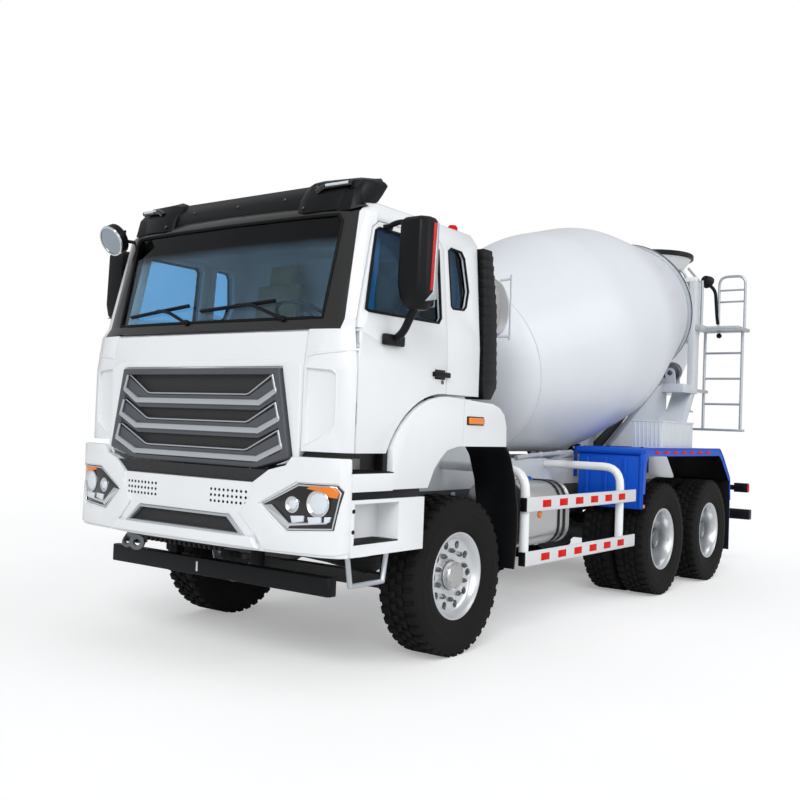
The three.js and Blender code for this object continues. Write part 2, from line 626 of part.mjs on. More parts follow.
function frontWing(hasStepLoop) {
  const cabArc = arc(ARCH_Y, ARCH_Z, ARCH_R - 18, 150.5, 90, 8);
  const wheelArch = [[484, 1433], [-157, 1433], [-286, 1406], [-366, 1348], [-433, 1280], [-497, 1166]];
  const skin = prism('x', [
    [-878, 1166], [-878, cabArc[0][1]], ...cabArc.slice(1), [276, WING_TOP_Z - 8], [376, 1708],
    [443, 1658], [478, 1580], ...wheelArch,
  ], BODY_HALF_WIDTH - 45, BODY_HALF_WIDTH);
  const liner = prism('x', [...wheelArch, [-519, 1172], [-452, 1290], [-380, 1363], [-293, 1427],
    [-160, 1455], [484, 1455]],
    WING_X[0], BODY_HALF_WIDTH - 10);
  const tread = block(960, BODY_HALF_WIDTH, -1250, -870, 1250, 1268);
  const treadBack = block(960, 980, -1250, -870, 1166, 1340);
  const treadFront = block(BODY_HALF_WIDTH - 20, BODY_HALF_WIDTH, -1250, -870, 1166, 1255);
  const treadFloor = block(960, BODY_HALF_WIDTH, -1250, -870, 1160, 1178);
  const stepBox = cut(
    block(STEP_BACK_X, BODY_HALF_WIDTH, -1250, -530, 782, 1112),
    block(STEP_BACK_X + 25, BODY_HALF_WIDTH + 5, -1232, -800, 852, 1090),
  );
  const link = block(1085, 1115, -1240, -890, 1105, 1168);
  const arms = join(
    block(FRAME_OUTER_X + SEAT_GAP, STEP_BACK_X + 5, -1230, -1180, 960, 1010),
    block(FRAME_OUTER_X + SEAT_GAP, WING_X[0] + 5, 688, 728, 960, 1010),
  );
  const stepLoop = join(
    rod([1195, -1225, 790], [1195, -1190, 605], 16, 8),
    rod([1195, -1196, 605], [1195, -872, 605], 16, 8),
    rod([1195, -878, 605], [1195, -845, 790], 16, 8),
  );
  const flapBehindWheel = prism('x', [
    [484, 1455], [484, 1433], [560, 1357], [640, 1180], [690, 974], [700, 800], [668, 533],
    [682, 531], [714, 800], [704, 978], [652, 1186], [570, 1364], [498, 1450],
  ], WING_X[0] - 20, BODY_HALF_WIDTH - 10);
  const whole = join(skin, liner, tread, treadBack, treadFront, treadFloor, stepBox, link, arms,
    flapBehindWheel);
  const steering = rod([KINGPIN_X, 0, 400], [KINGPIN_X, 0, 1130], STEER_CLEAR_R, 48);
  return cut(hasStepLoop ? join(whole, stepLoop) : whole, steering);
}
place('front_wing_left', frontWing(true), WHITE);
place('front_wing_right', mirrored(frontWing(false)), WHITE);

const REAR_WING_INNER_X = 585;
const REAR_WING_TOP_Z = 1432;

function rearWing() {
  const outer = [[3040, 860], [3040, 1330], [3075, 1400], [3140, REAR_WING_TOP_Z],
    [5227, REAR_WING_TOP_Z], [5345, 1345],
    [5600, 1098], [5630, 800], [5630, 285]];
  const inner = [[5618, 285], [5618, 798], [5588, 1092], [5338, 1334], [5222, 1420], [3144, 1420],
    [3084, 1391], [3052, 1328],
    [3052, 860]];
  const shell = prism('x', [...outer, ...inner], REAR_WING_INNER_X, BODY_HALF_WIDTH);
  const lip = prism('x', [[3040, 1000], [3040, 1330], [3075, 1400], [3140, REAR_WING_TOP_Z],
    [5227, REAR_WING_TOP_Z], [5345, 1345],
    [5600, 1098], [5570, 1070], [5310, 1300], [5215, 1355], [3190, 1355], [3130, 1300], [3105, 1000]],
  BODY_HALF_WIDTH - 12, BODY_HALF_WIDTH);
  const bracket = (y) => join(
    block(FRAME_OUTER_X + SEAT_GAP, FRAME_OUTER_X + 14, y, y + 60, 1120, 1425),
    block(FRAME_OUTER_X + SEAT_GAP, 1180, y, y + 60, 1390, 1425),
  );
  return join(shell, lip, bracket(3250), bracket(4270), bracket(5120));
}

const cabinet = block(905, 1215, 3560, 4420, REAR_WING_TOP_Z - 4, 1700);
place('rear_wing_left', join(rearWing(), cabinet), BLUE);
place('rear_wing_right', mirrored(rearWing()), BLUE);

function rearUnderrunBar() {
  const y = FRAME_REAR_Y + SEAT_GAP;
  const lampBar = block(-1180, 1180, y, y + 45, 925, 985);
  const bar = block(-1190, 1190, 6560, 6660, 565, 685);
  const hanger = prism('x', [[y, 985], [y + 45, 985], [y + 45, 880], [6640, 690], [6640, 640],
    [6565, 640], [y, 820]], 480, 520);
  const lamp = block(1050, 1210, y - 60, y + 10, 905, 1015);
  return join(lampBar, bar, bothSides(hanger), bothSides(lamp));
}
place('rear_underrun_bar', rearUnderrunBar(), BLACK);

// ---------------------------------------------------------------- drum and its frame

const alongDrum = (s, t = 0, x = 0) => [
  x, DRUM_SEAM_Y + s * Math.cos(DRUM_TILT) - t * Math.sin(DRUM_TILT),
  DRUM_SEAM_Z + s * Math.sin(DRUM_TILT) + t * Math.cos(DRUM_TILT),
];
const GEARBOX_FRONT = -700;
const GEARBOX_REAR = -345;
const TRUNNION_FLANGE_R = 130;

// The drum's skin from its head to its mouth, as radius and distance along the axis.
function drumSkin(inset) {
  const head = arc(0, 0, 1, 22, 70, 3).map(([c, s]) => [DRUM_SEAM_R * s, -c * DRUM_HEAD_DEPTH]);
  const bend = 60;
  const profile = [
    [0, -DRUM_HEAD_DEPTH], ...head, [DRUM_SEAM_R, 0],
    [DRUM_R - 14, DRUM_CYLINDER_START - bend], [DRUM_R, DRUM_CYLINDER_START + bend],
    [DRUM_R, DRUM_CYLINDER_END - bend],
    [DRUM_R - 14, DRUM_CYLINDER_END + bend], [DRUM_RING_SKIN_R, DRUM_RING_AT],
    [DRUM_MOUTH_R, DRUM_MOUTH_AT],
  ];
  return profile.map(([r, t]) => [Math.max(r - inset, 0), t === -DRUM_HEAD_DEPTH ? t + inset : t]);
}

const DRUM_SIDES = 32;

function drum() {
  const outside = turned([...drumSkin(0), [0, DRUM_MOUTH_AT]], DRUM_AXIS, DRUM_ORIGIN, DRUM_SIDES);
  const inside = turned([...drumSkin(DRUM_WALL).slice(0, -1),
    [DRUM_MOUTH_R - DRUM_WALL, DRUM_MOUTH_AT + 5], [0, DRUM_MOUTH_AT + 5]],
    DRUM_AXIS, DRUM_ORIGIN, DRUM_SIDES);
  const ringR = DRUM_RING_SKIN_R + RING_HEIGHT;
  const ring = turned([[DRUM_RING_SKIN_R - 30, -RING_WIDTH / 2], [ringR, -RING_WIDTH / 2],
    [ringR, RING_WIDTH / 2],
    [DRUM_RING_SKIN_R - 30, RING_WIDTH / 2]], DRUM_AXIS, alongDrum(DRUM_RING_AT), DRUM_SIDES);
  const flange = turned([[0, GEARBOX_REAR + SEAT_GAP], [TRUNNION_FLANGE_R, GEARBOX_REAR + SEAT_GAP],
    [TRUNNION_FLANGE_R, -DRUM_HEAD_DEPTH + 40], [0, -DRUM_HEAD_DEPTH + 40]], DRUM_AXIS, DRUM_ORIGIN,
    DRUM_SIDES);
  return join(cut(join(outside, ring), inside), flange);
}
place('drum', drum(), WHITE);

const ROLLER_REACH = DRUM_RING_SKIN_R + RING_HEIGHT + ROLLER_R + 5;
const rollerAt = (side, s) => alongDrum(DRUM_RING_AT + s, -ROLLER_REACH * Math.cos(ROLLER_ANGLE),
  side * ROLLER_REACH * Math.sin(ROLLER_ANGLE));

function roller() {
  const wheel = rod(rollerAt(1, -ROLLER_LENGTH / 2), rollerAt(1, ROLLER_LENGTH / 2), ROLLER_R, 20);
  const shaft = rod(rollerAt(1, -ROLLER_LENGTH / 2 - 35), rollerAt(1, ROLLER_LENGTH / 2 + 35), 30,
    SHAFT_SIDES);
  return join(wheel, shaft);
}
placePair('roller', roller(), STEEL);

const TANK_CENTRE = [735, 2483];
const TANK_SIDES = 24;
const DRIVE_SIDES = 24;
const WATER_TANK_R = 235;
const CROSS_BEAM_Z = [2080, 2180];

function mixerFrame() {
  const beam = block(FRAME_INNER_X, FRAME_OUTER_X, 450, CHUTE_Y + 60, FRAME_TOP_Z + SEAT_GAP,
    MIXER_BEAM_TOP_Z);
  const tie = (y) => block(-FRAME_INNER_X - 5, FRAME_INNER_X + 5, y, y + 90, 1120, MIXER_BEAM_TOP_Z - 40);
  const frontPlate = prism('x', [
    [860, 1290], [1420, 1290], [1420, 1700], [1210, 1830], [1000, 2300], [960, 2390], [560, 2390],
    [560, 2180], [860, 2050],
  ], FRAME_INNER_X, FRAME_OUTER_X);
  const tankSaddle = turned([[0, -600], [WATER_TANK_R + SEAT_GAP, -600], [WATER_TANK_R + SEAT_GAP, 600],
    [0, 600]],
    ALONG_X, [0, ...TANK_CENTRE], TANK_SIDES);
  const driveSaddle = block(-FRAME_INNER_X - 5, FRAME_INNER_X + 5, 1230, 1410, 1590, 1900);
  const driveSeat = turned([[0, -900], [GEARBOX_R + SEAT_GAP, -900], [GEARBOX_R + SEAT_GAP, 0], [0, 0]],
    DRUM_AXIS, DRUM_ORIGIN, DRIVE_SIDES);
  const slantBrace = prism('x', [[3880, 1290], [4090, 1290], [5560, 2080], [5560, 2175], [5450, 2150]],
    FRAME_INNER_X, FRAME_OUTER_X);
  const leg = prism('x', [[5380, 1290], [5700, 1290], [5700, 2100], [5540, 2100]], FRAME_INNER_X,
    FRAME_OUTER_X);
  const crossBeam = block(-690, 690, 5540, 5780, ...CROSS_BEAM_Z);
  const sideBeam = block(COLUMN_X, COLUMN_X + 80, 5560, 6060, ...CROSS_BEAM_Z);
  const column = block(COLUMN_X, COLUMN_X + 80, 5900, 6060, CROSS_BEAM_Z[0] + 20, 3450);
  const strut = prism('x', [[5600, 1700], [5700, 1640], [6040, 2090], [5900, 2100]], FRAME_OUTER_X - 5,
    COLUMN_X + 60);
  const cheek = (s) => {
    const [x, y, z] = rollerAt(1, s);
    const plate = join(
      rod(rollerAt(1, s - 9), rollerAt(1, s + 9), 62, 12),
      moved(block(x - 62, x + 62, y - 9, y + 9, CROSS_BEAM_Z[1] - 60, z), slantAbout(y, z)),
    );
    return plate;
  };
  const bearingBore = rod(rollerAt(1, -200), rollerAt(1, 200), 30.9, SHAFT_SIDES);
  const bearing = cut(join(cheek(-ROLLER_LENGTH / 2 - 22), cheek(ROLLER_LENGTH / 2 + 22)), bearingBore);
  const post = join(
    block(-FRAME_OUTER_X, FRAME_OUTER_X, CHUTE_Y - 60, CHUTE_Y + 60, 1210, MIXER_BEAM_TOP_Z),
    rod([0, CHUTE_Y, MIXER_BEAM_TOP_Z - 20], [0, CHUTE_Y, CHUTE_POST_TOP_Z], CHUTE_POST_R, SHAFT_SIDES),
  );
  const side = join(beam, frontPlate, slantBrace, leg, sideBeam, column, strut);
  const whole = join(bothSides(side), tie(700), tie(2300), tie(3700), tie(4900), driveSaddle, crossBeam,
    post);
  const chuteRoom = bothSides(block(300, FRAME_OUTER_X + 10, CHUTE_Y - 105, CHUTE_Y + 80, 1240,
    MIXER_BEAM_TOP_Z + 10));
  return join(cut(whole, tankSaddle, driveSeat, chuteRoom), bothSides(bearing));
}

// A turn that leans an upright plate square to the drum's axis about a point.
function slantAbout(y, z) {
  const back = new THREE.Matrix4().makeTranslation(0, y, z);
  const lean = new THREE.Matrix4().makeRotationX(DRUM_TILT);
  return back.multiply(lean).multiply(new THREE.Matrix4().makeTranslation(0, -y, -z));
}

const CHUTE_POST_R = 50;
const CHUTE_POST_TOP_Z = 1480;
place('mixer_frame', mixerFrame(), GREY);

const gearbox = turned([[0, GEARBOX_FRONT], [120, GEARBOX_FRONT], [140, -560], [GEARBOX_R, -560],
  [GEARBOX_R, -390],
  [150, GEARBOX_REAR], [0, GEARBOX_REAR]], DRUM_AXIS, DRUM_ORIGIN, DRIVE_SIDES);
place('drum_drive', gearbox, DARK);

function waterTank() {
  const r = WATER_TANK_R;
  return turned([[0, -1010], [r - 70, -1000], [r, -950], [r, 950], [r - 70, 1000], [0, 1010]],
    ALONG_X, [0, ...TANK_CENTRE], TANK_SIDES);
}
place('water_tank', waterTank(), STEEL);

// ---------------------------------------------------------------- hopper, collector, chute

function chargeHopper() {
  const throat = 3400;
  const wall = 8;
  const spoutEnd = [0, 5730, 3262];
  const spoutTop = [0, HOPPER_Y, throat + 20];
  const funnel = (r) => turned([[0, throat], [200 - r, throat], [HOPPER_R - r, HOPPER_TOP_Z - 45],
    [HOPPER_R - r, HOPPER_TOP_Z],
    [0, HOPPER_TOP_Z]], ALONG_Z, [0, HOPPER_Y, 0], HOPPER_SIDES);
  const rim = turned([[HOPPER_R - 30, HOPPER_TOP_Z - 60], [HOPPER_R + 20, HOPPER_TOP_Z - 60],
    [HOPPER_R + 20, HOPPER_TOP_Z],
    [HOPPER_R - 30, HOPPER_TOP_Z]], ALONG_Z, [0, HOPPER_Y, 0], HOPPER_SIDES);
  const lug = block(160, COLUMN_X + 60, 5960, 6040, 3450 + SEAT_GAP, 3510);
  const outside = join(funnel(0), rim, rod(spoutTop, spoutEnd, 190, 16), bothSides(lug));
  const beyond = new THREE.Vector3(...spoutEnd).sub(new THREE.Vector3(...spoutTop)).normalize()
    .multiplyScalar(40);
  const mouth = [0, spoutEnd[1] + beyond.y, spoutEnd[2] + beyond.z];
  const insideFunnel = turned([[0, throat - 1], [200 - wall, throat - 1],
    [HOPPER_R - wall - 14, HOPPER_TOP_Z - 45],
    [HOPPER_R - wall - 14, HOPPER_TOP_Z + 5], [0, HOPPER_TOP_Z + 5]], ALONG_Z, [0, HOPPER_Y, 0],
    HOPPER_SIDES);
  return cut(outside, insideFunnel, rod(spoutTop, mouth, 190 - wall, 16));
}
place('charge_hopper', chargeHopper(), WHITE);

function dischargeCollector() {
  const ring = (x, y0, y1, z) => [[x, y0, z], [x, y1, z], [-x, y1, z], [-x, y0, z]].reverse();
  const outer = loft([ring(215, CHUTE_Y - 150, CHUTE_Y + 150, 2080), ring(480, 5860, 6680, 2900),
    ring(490, 5860, 6690, 3120)]);
  const inner = loft([ring(205, CHUTE_Y - 140, CHUTE_Y + 140, 2075),
    ring(205, CHUTE_Y - 140, CHUTE_Y + 140, 2082),
    ring(470, 5870, 6670, 2902), ring(480, 5870, 6680, 3125)]);
  const lug = block(330, COLUMN_X - SEAT_GAP, 5990, 6045, 2700, 2760);
  const clear = 14;
  const drumRoom = turned([[0, DRUM_RING_AT], [DRUM_RING_SKIN_R + clear, DRUM_RING_AT],
    [DRUM_MOUTH_R + clear, DRUM_MOUTH_AT + clear],
    [DRUM_MOUTH_R + clear, DRUM_MOUTH_AT + 80], [0, DRUM_MOUTH_AT + 80]], DRUM_AXIS, DRUM_ORIGIN,
    DRUM_SIDES);
  return cut(join(outer, bothSides(lug)), inner, drumRoom);
}
place('discharge_collector', dischargeCollector(), WHITE);

// The arm and the chute are made pointing along +Y from the pivot line, then swung to the
// truck's right side, where the chute is stowed.
const stow = new THREE.Matrix4().makeTranslation(0, CHUTE_Y, 0)
  .multiply(new THREE.Matrix4().makeRotationZ(Math.PI / 2));
const CHUTE_CHEEK_X = CHUTE_R + 8 + SWING_GAP;
const CHUTE_PIN_R = 14;

function chuteArm() {
  const collar = turned([[CHUTE_POST_R + 1.4, 1345], [90, 1345], [90, 1470], [CHUTE_POST_R + 1.4, 1470]],
    ALONG_Z, [0, 0, 0], SHAFT_SIDES);
  const deck = cut(block(-CHUTE_CHEEK_X - 24, CHUTE_CHEEK_X + 24, -70, 70, 1440, 1470),
    rod([0, 0, 1300], [0, 0, 1500], CHUTE_POST_R + 1.4, SHAFT_SIDES));
  const cheek = block(CHUTE_CHEEK_X, CHUTE_CHEEK_X + 24, -60, 60, 1450, CHUTE_HINGE_Z + 40);
  const bore = rod([-400, 0, CHUTE_HINGE_Z], [400, 0, CHUTE_HINGE_Z], CHUTE_PIN_R + 0.8, 12);
  return moved(cut(join(collar, deck, bothSides(cheek)), bore), stow);
}
place('chute_arm', chuteArm(), WHITE);

function chute() {
  const outline = [...arc(0, 0, CHUTE_R, 180, 360, 8), ...arc(0, 0, CHUTE_R - 8, 360, 180, 8)];
  const trough = prism('y', outline, -190, CHUTE_LENGTH - 190);
  const pin = rod([CHUTE_R - 8, 0, 0], [CHUTE_CHEEK_X + 24, 0, 0], CHUTE_PIN_R, 12);
  const boss = rod([CHUTE_R - 10, 0, 0], [CHUTE_R + 8, 0, 0], 34, 10);
  const spine = block(-20, 20, 80, CHUTE_LENGTH - 260, -CHUTE_R - 30, -CHUTE_R + 6);
  const level = join(trough, bothSides(pin), bothSides(boss), spine);
  const hang = new THREE.Matrix4().makeTranslation(0, 0, CHUTE_HINGE_Z)
    .multiply(new THREE.Matrix4().makeRotationX(-CHUTE_REST_TILT));
  return moved(level, stow.clone().multiply(hang));
}
place('chute', chute(), WHITE);

function ladder() {
  const y = 6550;
  const stile = (x, z0, z1) => rod([x, y, z0], [x, y, z1], 19, 6);
  const rungs = [1980, 2300, 2620].map((z) => rod([590, y, z], [1056, y, z], 14, 6));
  const step = block(470, 1100, y - 30, y + 40, 1640, 1672);
  const platform = cut(block(570, 1120, 6150, 6625, 2880, 2920),
    block(620, 1080, 6250, 6500, 2870, 2930));
  const deck = block(600, 1100, 6240, 6510, 2890, 2902);
  const arm = block(COLUMN_X + 80 + SEAT_GAP, COLUMN_X + 150, 5920, 6180, 2850, 2920);
  const brace = block(COLUMN_X - 12, COLUMN_X + 40, 6060 + SEAT_GAP, y + 15, 2110, 2150);
  const hoop = bentTube([[752, y, 2900], [752, y, 3585], [1075, y, 3585], [1075, y, 2900]], 110, 17, 6);
  const hoopRungs = [3265, 3410].map((z) => rod([752, y, z], [1075, y, z], 12, 6));
  const post = rod([640, 6240, 2900], [640, 6240, 3500], 19, 6);
  return join(stile(590, 1650, 2900), stile(1056, 1650, 2900), ...rungs, step, platform, deck, arm,
    brace, hoop, ...hoopRungs, post);
}
place('ladder', ladder(), SILVER);

// ---------------------------------------------------------------- cab

// The cab's outline in plan at one height, its skin moved inwards by a wall's thickness.
// A front wall can be thicker than the sides.
function cabLoop(level, wall, frontWall) {
  const [z, width, nose, rear] = level;
  const w = width - wall;
  const f = nose + frontWall;
  const r = rear - wall;
  const half = [[0, f - 28], [520, f - 16], [width - 325, f + 4], [w - 150 + wall * 0.3, f + 30],
    [w - 40, f + 72], [w, f + 125],
    [w, r - 60], [w - 22, r - 16], [w - 70, r], [0, r]];
  const left = half.map(([x, y]) => [x, y, z]);
  const right = half.slice(1, -1).reverse().map(([x, y]) => [-x, y, z]);
  return [...left, ...right];
}

const CAB_LEVELS = [
  [1263, CAB_HALF_WIDTH, -1336, CAB_REAR_Y], [1880, CAB_HALF_WIDTH, -1336, CAB_REAR_Y],
  [2110, 1212, -1306, CAB_REAR_Y + 2],
  [2179, 1206, -1262, CAB_REAR_Y + 4], [2850, 1146, -1128, CAB_REAR_Y + 20],
  [2915, 1105, -1070, CAB_REAR_Y],
  [2958, 1000, -960, CAB_REAR_Y - 90],
];

function cabBody(wall, frontWall, floor = 0) {
  const levels = CAB_LEVELS.map(([z, ...rest], i) =>
    [i === 0 ? z + floor : z - (i > 3 ? wall : 0), ...rest]);
  return loft(levels.map((level) => cabLoop(level, wall, frontWall)));
}

// Everything below the cab's floor line: flat at the front, over the wheel, flat behind.
function underCab(rise) {
  const wheelArc = arc(ARCH_Y, ARCH_Z, ARCH_R + rise, 154.5, 90, 10);
  return prism('x', [[-1600, 1000], [-1600, CAB_UNDER_Z + rise], [wheelArc[0][0], CAB_UNDER_Z + rise],
    ...wheelArc.slice(1),
    [900, ARCH_Z + ARCH_R + rise], [900, 1000]], -1400, 1400);
}

const FIREWALL = FLAP_THICKNESS + SWING_GAP + CAB_WALL;
const DOOR = [
  [DOOR_FRONT_Y, 1300], [DOOR_FRONT_Y, 2110], [-1178, 2180], [-1030, DOOR_TOP_Z - 40],
  [-985, DOOR_TOP_Z], [DOOR_REAR_Y - 60, DOOR_TOP_Z],
  [DOOR_REAR_Y, DOOR_TOP_Z - 60], [DOOR_REAR_Y, 1300],
];
const DOOR_GAP = [
  [DOOR_FRONT_Y - 12, 1200], [DOOR_FRONT_Y - 12, 2112], [-1190, 2184], [-1040, DOOR_TOP_Z - 35],
  [-992, DOOR_TOP_Z + 7],
  [DOOR_REAR_Y - 57, DOOR_TOP_Z + 7], [DOOR_REAR_Y + 7, DOOR_TOP_Z - 57], [DOOR_REAR_Y + 7, 1200],
];
const DOOR_WINDOW = [[-1140, 2245], [-1020, 2735], [-985, 2755], [-375, 2755], [-345, 2725],
  [-345, 2275], [-375, 2240], [-1120, 2232]];
const QUARTER_WINDOW = [[-215, 2370], [-225, 2740], [-190, 2765], [-60, 2760], [-25, 2720], [10, 2500],
  [-30, 2385], [-60, 2362], [-195, 2355]];
const WINDSCREEN = [[-915, 2186], [-902, 2800], [-870, 2838], [870, 2838], [902, 2800], [915, 2186]];

// The room of a door, whose inner face leans in above the window sill.
function doorSpace(outline, inward) {
  const [sill, head] = [CAB_HALF_WIDTH - CAB_WALL - inward, 1085 - inward];
  const across = [[sill, 1100], [sill, 2150], [head, DOOR_TOP_Z], [head, 2900], [1300, 2900],
    [1300, 1100]];
  return prism('x', outline, 1000, 1300).intersect(prism('y', across, -1300, 0));
}
const pane = (depth, outline, axis) => cut(cabBody(depth, depth), cabBody(depth + 6, depth + 6))
  .intersect(axis === 'x' ? prism('x', outline, 900, 1300) : prism('y', outline, -1400, -850));

const flapOutline = (grow) => [[-FLAP_HALF_WIDTH - grow, FLAP_TOP_Z + grow],
  [FLAP_HALF_WIDTH + grow, FLAP_TOP_Z + grow],
  [FLAP_HALF_WIDTH + grow, 1400 - grow], [838 + grow, 1318 - grow], [573, FLAP_BOTTOM_Z - grow],
  [-573, FLAP_BOTTOM_Z - grow],
  [-838 - grow, 1318 - grow], [-FLAP_HALF_WIDTH - grow, 1400 - grow]];

const skin = cabBody(0, 0);
const hollow = cut(cabBody(CAB_WALL, FIREWALL, 60), underCab(CAB_WALL));
const walls = cut(skin, hollow);

// Each door turns about two pins that the cab's corner reaches out to. The lugs come from the
// inside, so the door's inner front corner is cut away round them and its skin is whole.
const DOOR_HINGE = [1200, -1185];
const DOOR_HINGE_R = 8;
const DOOR_HINGE_Z = [1560, 2010];
const HINGE_LUG = 16;
const HINGE_HEIGHT = 110;

function doorHinge(z) {
  const [x, y] = DOOR_HINGE;
  const lug = (from) => join(
    rod([x, y, from], [x, y, from + HINGE_LUG], DOOR_HINGE_R, 12),
    block(1120, x, y - DOOR_HINGE_R, y + DOOR_HINGE_R, from, from + HINGE_LUG),
  );
  const pin = rod([x, y, z + 5], [x, y, z + HINGE_HEIGHT - 5], 6, 12);
  return join(lug(z), lug(z + HINGE_HEIGHT - HINGE_LUG), pin);
}

function doorHingePocket(z) {
  const [x, y] = DOOR_HINGE;
  return block(1100, x + DOOR_HINGE_R + 1.5, y - 60, y + DOOR_HINGE_R + 1.5, z - 5, z + HINGE_HEIGHT + 5);
}

function doorKnuckle(z) {
  const [x, y] = DOOR_HINGE;
  const [from, to] = [z + HINGE_LUG + 3, z + HINGE_HEIGHT - HINGE_LUG - 3];
  const barrel = join(rod([x, y, from], [x, y, to], 13, 12), block(x - 10, x + 12, y, y + 20, from, to));
  return cut(barrel, rod([x, y, from - 5], [x, y, to + 5], 6.6, 12));
}

// The front flap turns about pins near its top edge, held the same way from behind.
const FLAP_HINGE = [-1310, 2092];
const FLAP_HINGE_X = [-560, 450];

function flapHinge(x) {
  const [y, z] = FLAP_HINGE;
  const lug = (from) => join(
    rod([from, y, z], [from + HINGE_LUG, y, z], DOOR_HINGE_R, 12),
    block(from, from + HINGE_LUG, y, -1255, z - DOOR_HINGE_R, z + DOOR_HINGE_R),
  );
  const pin = rod([x + 5, y, z], [x + HINGE_HEIGHT - 5, y, z], 6, 12);
  return join(lug(x), lug(x + HINGE_HEIGHT - HINGE_LUG), pin);
}

function flapHingePocket(x) {
  const [y, z] = FLAP_HINGE;
  const reach = DOOR_HINGE_R + 1.5;
  return block(x - 5, x + HINGE_HEIGHT + 5, y - reach, -1200, z - reach, z + 60);
}

function flapKnuckle(x) {
  const [y, z] = FLAP_HINGE;
  const [from, to] = [x + HINGE_LUG + 3, x + HINGE_HEIGHT - HINGE_LUG - 3];
  const barrel = join(rod([from, y, z], [to, y, z], 13, 12), block(from, to, y - 8, y + 8, z - 20, z));
  return cut(barrel, rod([from - 5, y, z], [to + 5, y, z], 6.6, 12));
}

function cabShell() {
  const flapRoom = prism('y', [...flapOutline(7).slice(2), [-FLAP_HALF_WIDTH - 7, FLAP_TOP_Z + 24],
    [FLAP_HALF_WIDTH + 7, FLAP_TOP_Z + 24]], -1600, -1336 + FLAP_THICKNESS + SWING_GAP);
  const doorways = bothSides(doorSpace(DOOR_GAP, SWING_GAP));
  const windscreenHole = prism('y', WINDSCREEN, -1500, -900);
  const quarterHole = prism('x', QUARTER_WINDOW, 1000, 1300);
  const quarterPane = pane(24, grown(QUARTER_WINDOW, 6), 'x');
  const arm = cut(
    join(prism('x', [[CAB_PIVOT_Y - 30, CAB_PIVOT_Z], [CAB_PIVOT_Y + 30, CAB_PIVOT_Z],
      [-1180, CAB_UNDER_Z + 20],
      [-1250, CAB_UNDER_Z + 20], [-1262, FLAP_BOTTOM_Z]], SPRING_X - 20, SPRING_X + 20),
    rod([SPRING_X - 20, CAB_PIVOT_Y, CAB_PIVOT_Z], [SPRING_X + 20, CAB_PIVOT_Y, CAB_PIVOT_Z], 34, 12)),
    rod([SPRING_X - 40, CAB_PIVOT_Y, CAB_PIVOT_Z], [SPRING_X + 40, CAB_PIVOT_Y, CAB_PIVOT_Z],
      HINGE_PIN_R + 0.9, SHAFT_SIDES),
  );
  const shell = cut(walls, underCab(0), flapRoom, doorways, windscreenHole, bothSides(quarterHole));
  const hinges = [...DOOR_HINGE_Z.map((z) => bothSides(doorHinge(z))), ...FLAP_HINGE_X.map(flapHinge)];
  return join(shell, bothSides(quarterPane), bothSides(arm), ...hinges);
}
place('cab_shell', cabShell(), WHITE);
place('windscreen', pane(14, grown(WINDSCREEN, -0.6), 'y'), GLASS);

function door() {
  const panel = cut(walls, underCab(0)).intersect(doorSpace(DOOR, 0));
  const opened = cut(panel, prism('x', DOOR_WINDOW, 900, 1300), ...DOOR_HINGE_Z.map(doorHingePocket));
  const handle = block(CAB_HALF_WIDTH - 6, CAB_HALF_WIDTH + 28, -445, -305, 1885, 1915);
  const glass = pane(24, grown(DOOR_WINDOW, 8), 'x').intersect(doorSpace(DOOR, 0));
  return join(opened, glass, handle, ...DOOR_HINGE_Z.map(doorKnuckle));
}
placePair('door', door(), WHITE);

const MIRROR_Y = [-965, -850];

function doorMirror() {
  const housing = prism('z', [[1292, MIRROR_Y[1]], [1286, -930], [1310, MIRROR_Y[0]],
    [1470, MIRROR_Y[0]], [1498, -930], [1490, MIRROR_Y[1]]], 2250, 2812);
  const foot = block(CAB_HALF_WIDTH + SEAT_GAP, CAB_HALF_WIDTH + 36, -1010, -800, 2040, 2110);
  const lowerArm = rod([CAB_HALF_WIDTH + 20, -900, 2085], [1370, -900, 2262], 26, 10);
  const upperArm = rod([1300, -905, 2772], [1150, -915, 2772], 18, 10);
  const upperFoot = block(1120, 1185, -950, -880, 2757, 2786);
  return cut(join(housing, foot, lowerArm, upperArm, upperFoot), cabBody(-SEAT_GAP, -SEAT_GAP));
}
placePair('mirror', doorMirror(), BLACK);

function frontFlap() {
  const panel = cut(skin, hollow).intersect(prism('y', flapOutline(0), -1600, -1336 + FLAP_THICKNESS));
  const opened = cut(panel, prism('y', GRILLE, -1600, -1200), ...FLAP_HINGE_X.map(flapHingePocket));
  return join(opened, ...FLAP_HINGE_X.map(flapKnuckle));
}
const GRILLE = [[-733, 1879], [733, 1879], [838, 1340], [573, 1240], [-573, 1240], [-838, 1340]];
place('front_flap', frontFlap(), WHITE);

function grille() {
  const front = -1376;
  const outline = [[-733, 1879], [733, 1879], [838, 1340], [573, FLAP_BOTTOM_Z + 2],
    [-573, FLAP_BOTTOM_Z + 2], [-838, 1340]];
  const plate = prism('y', grown(outline, -0.7), -1330, -1300);
  const frame = cut(prism('y', grown(outline, -0.7), front + 6, -1310),
    prism('y', grown(outline, -62), front - 10, -1300));
  const bar = (z, reach, rise) => prism('y', [
    [-reach, z + rise], [-reach + 120, z], [reach - 120, z], [reach, z + rise], [reach, z + rise - 46],
    [reach - 130, z - 46],
    [-reach + 130, z - 46], [-reach, z + rise - 46],
  ], front - 6, -1320);
  return join(plate, frame, bar(1755, 690, 70), bar(1620, 715, 70), bar(1485, 740, 70));
}
place('grille', grille(), DARK);

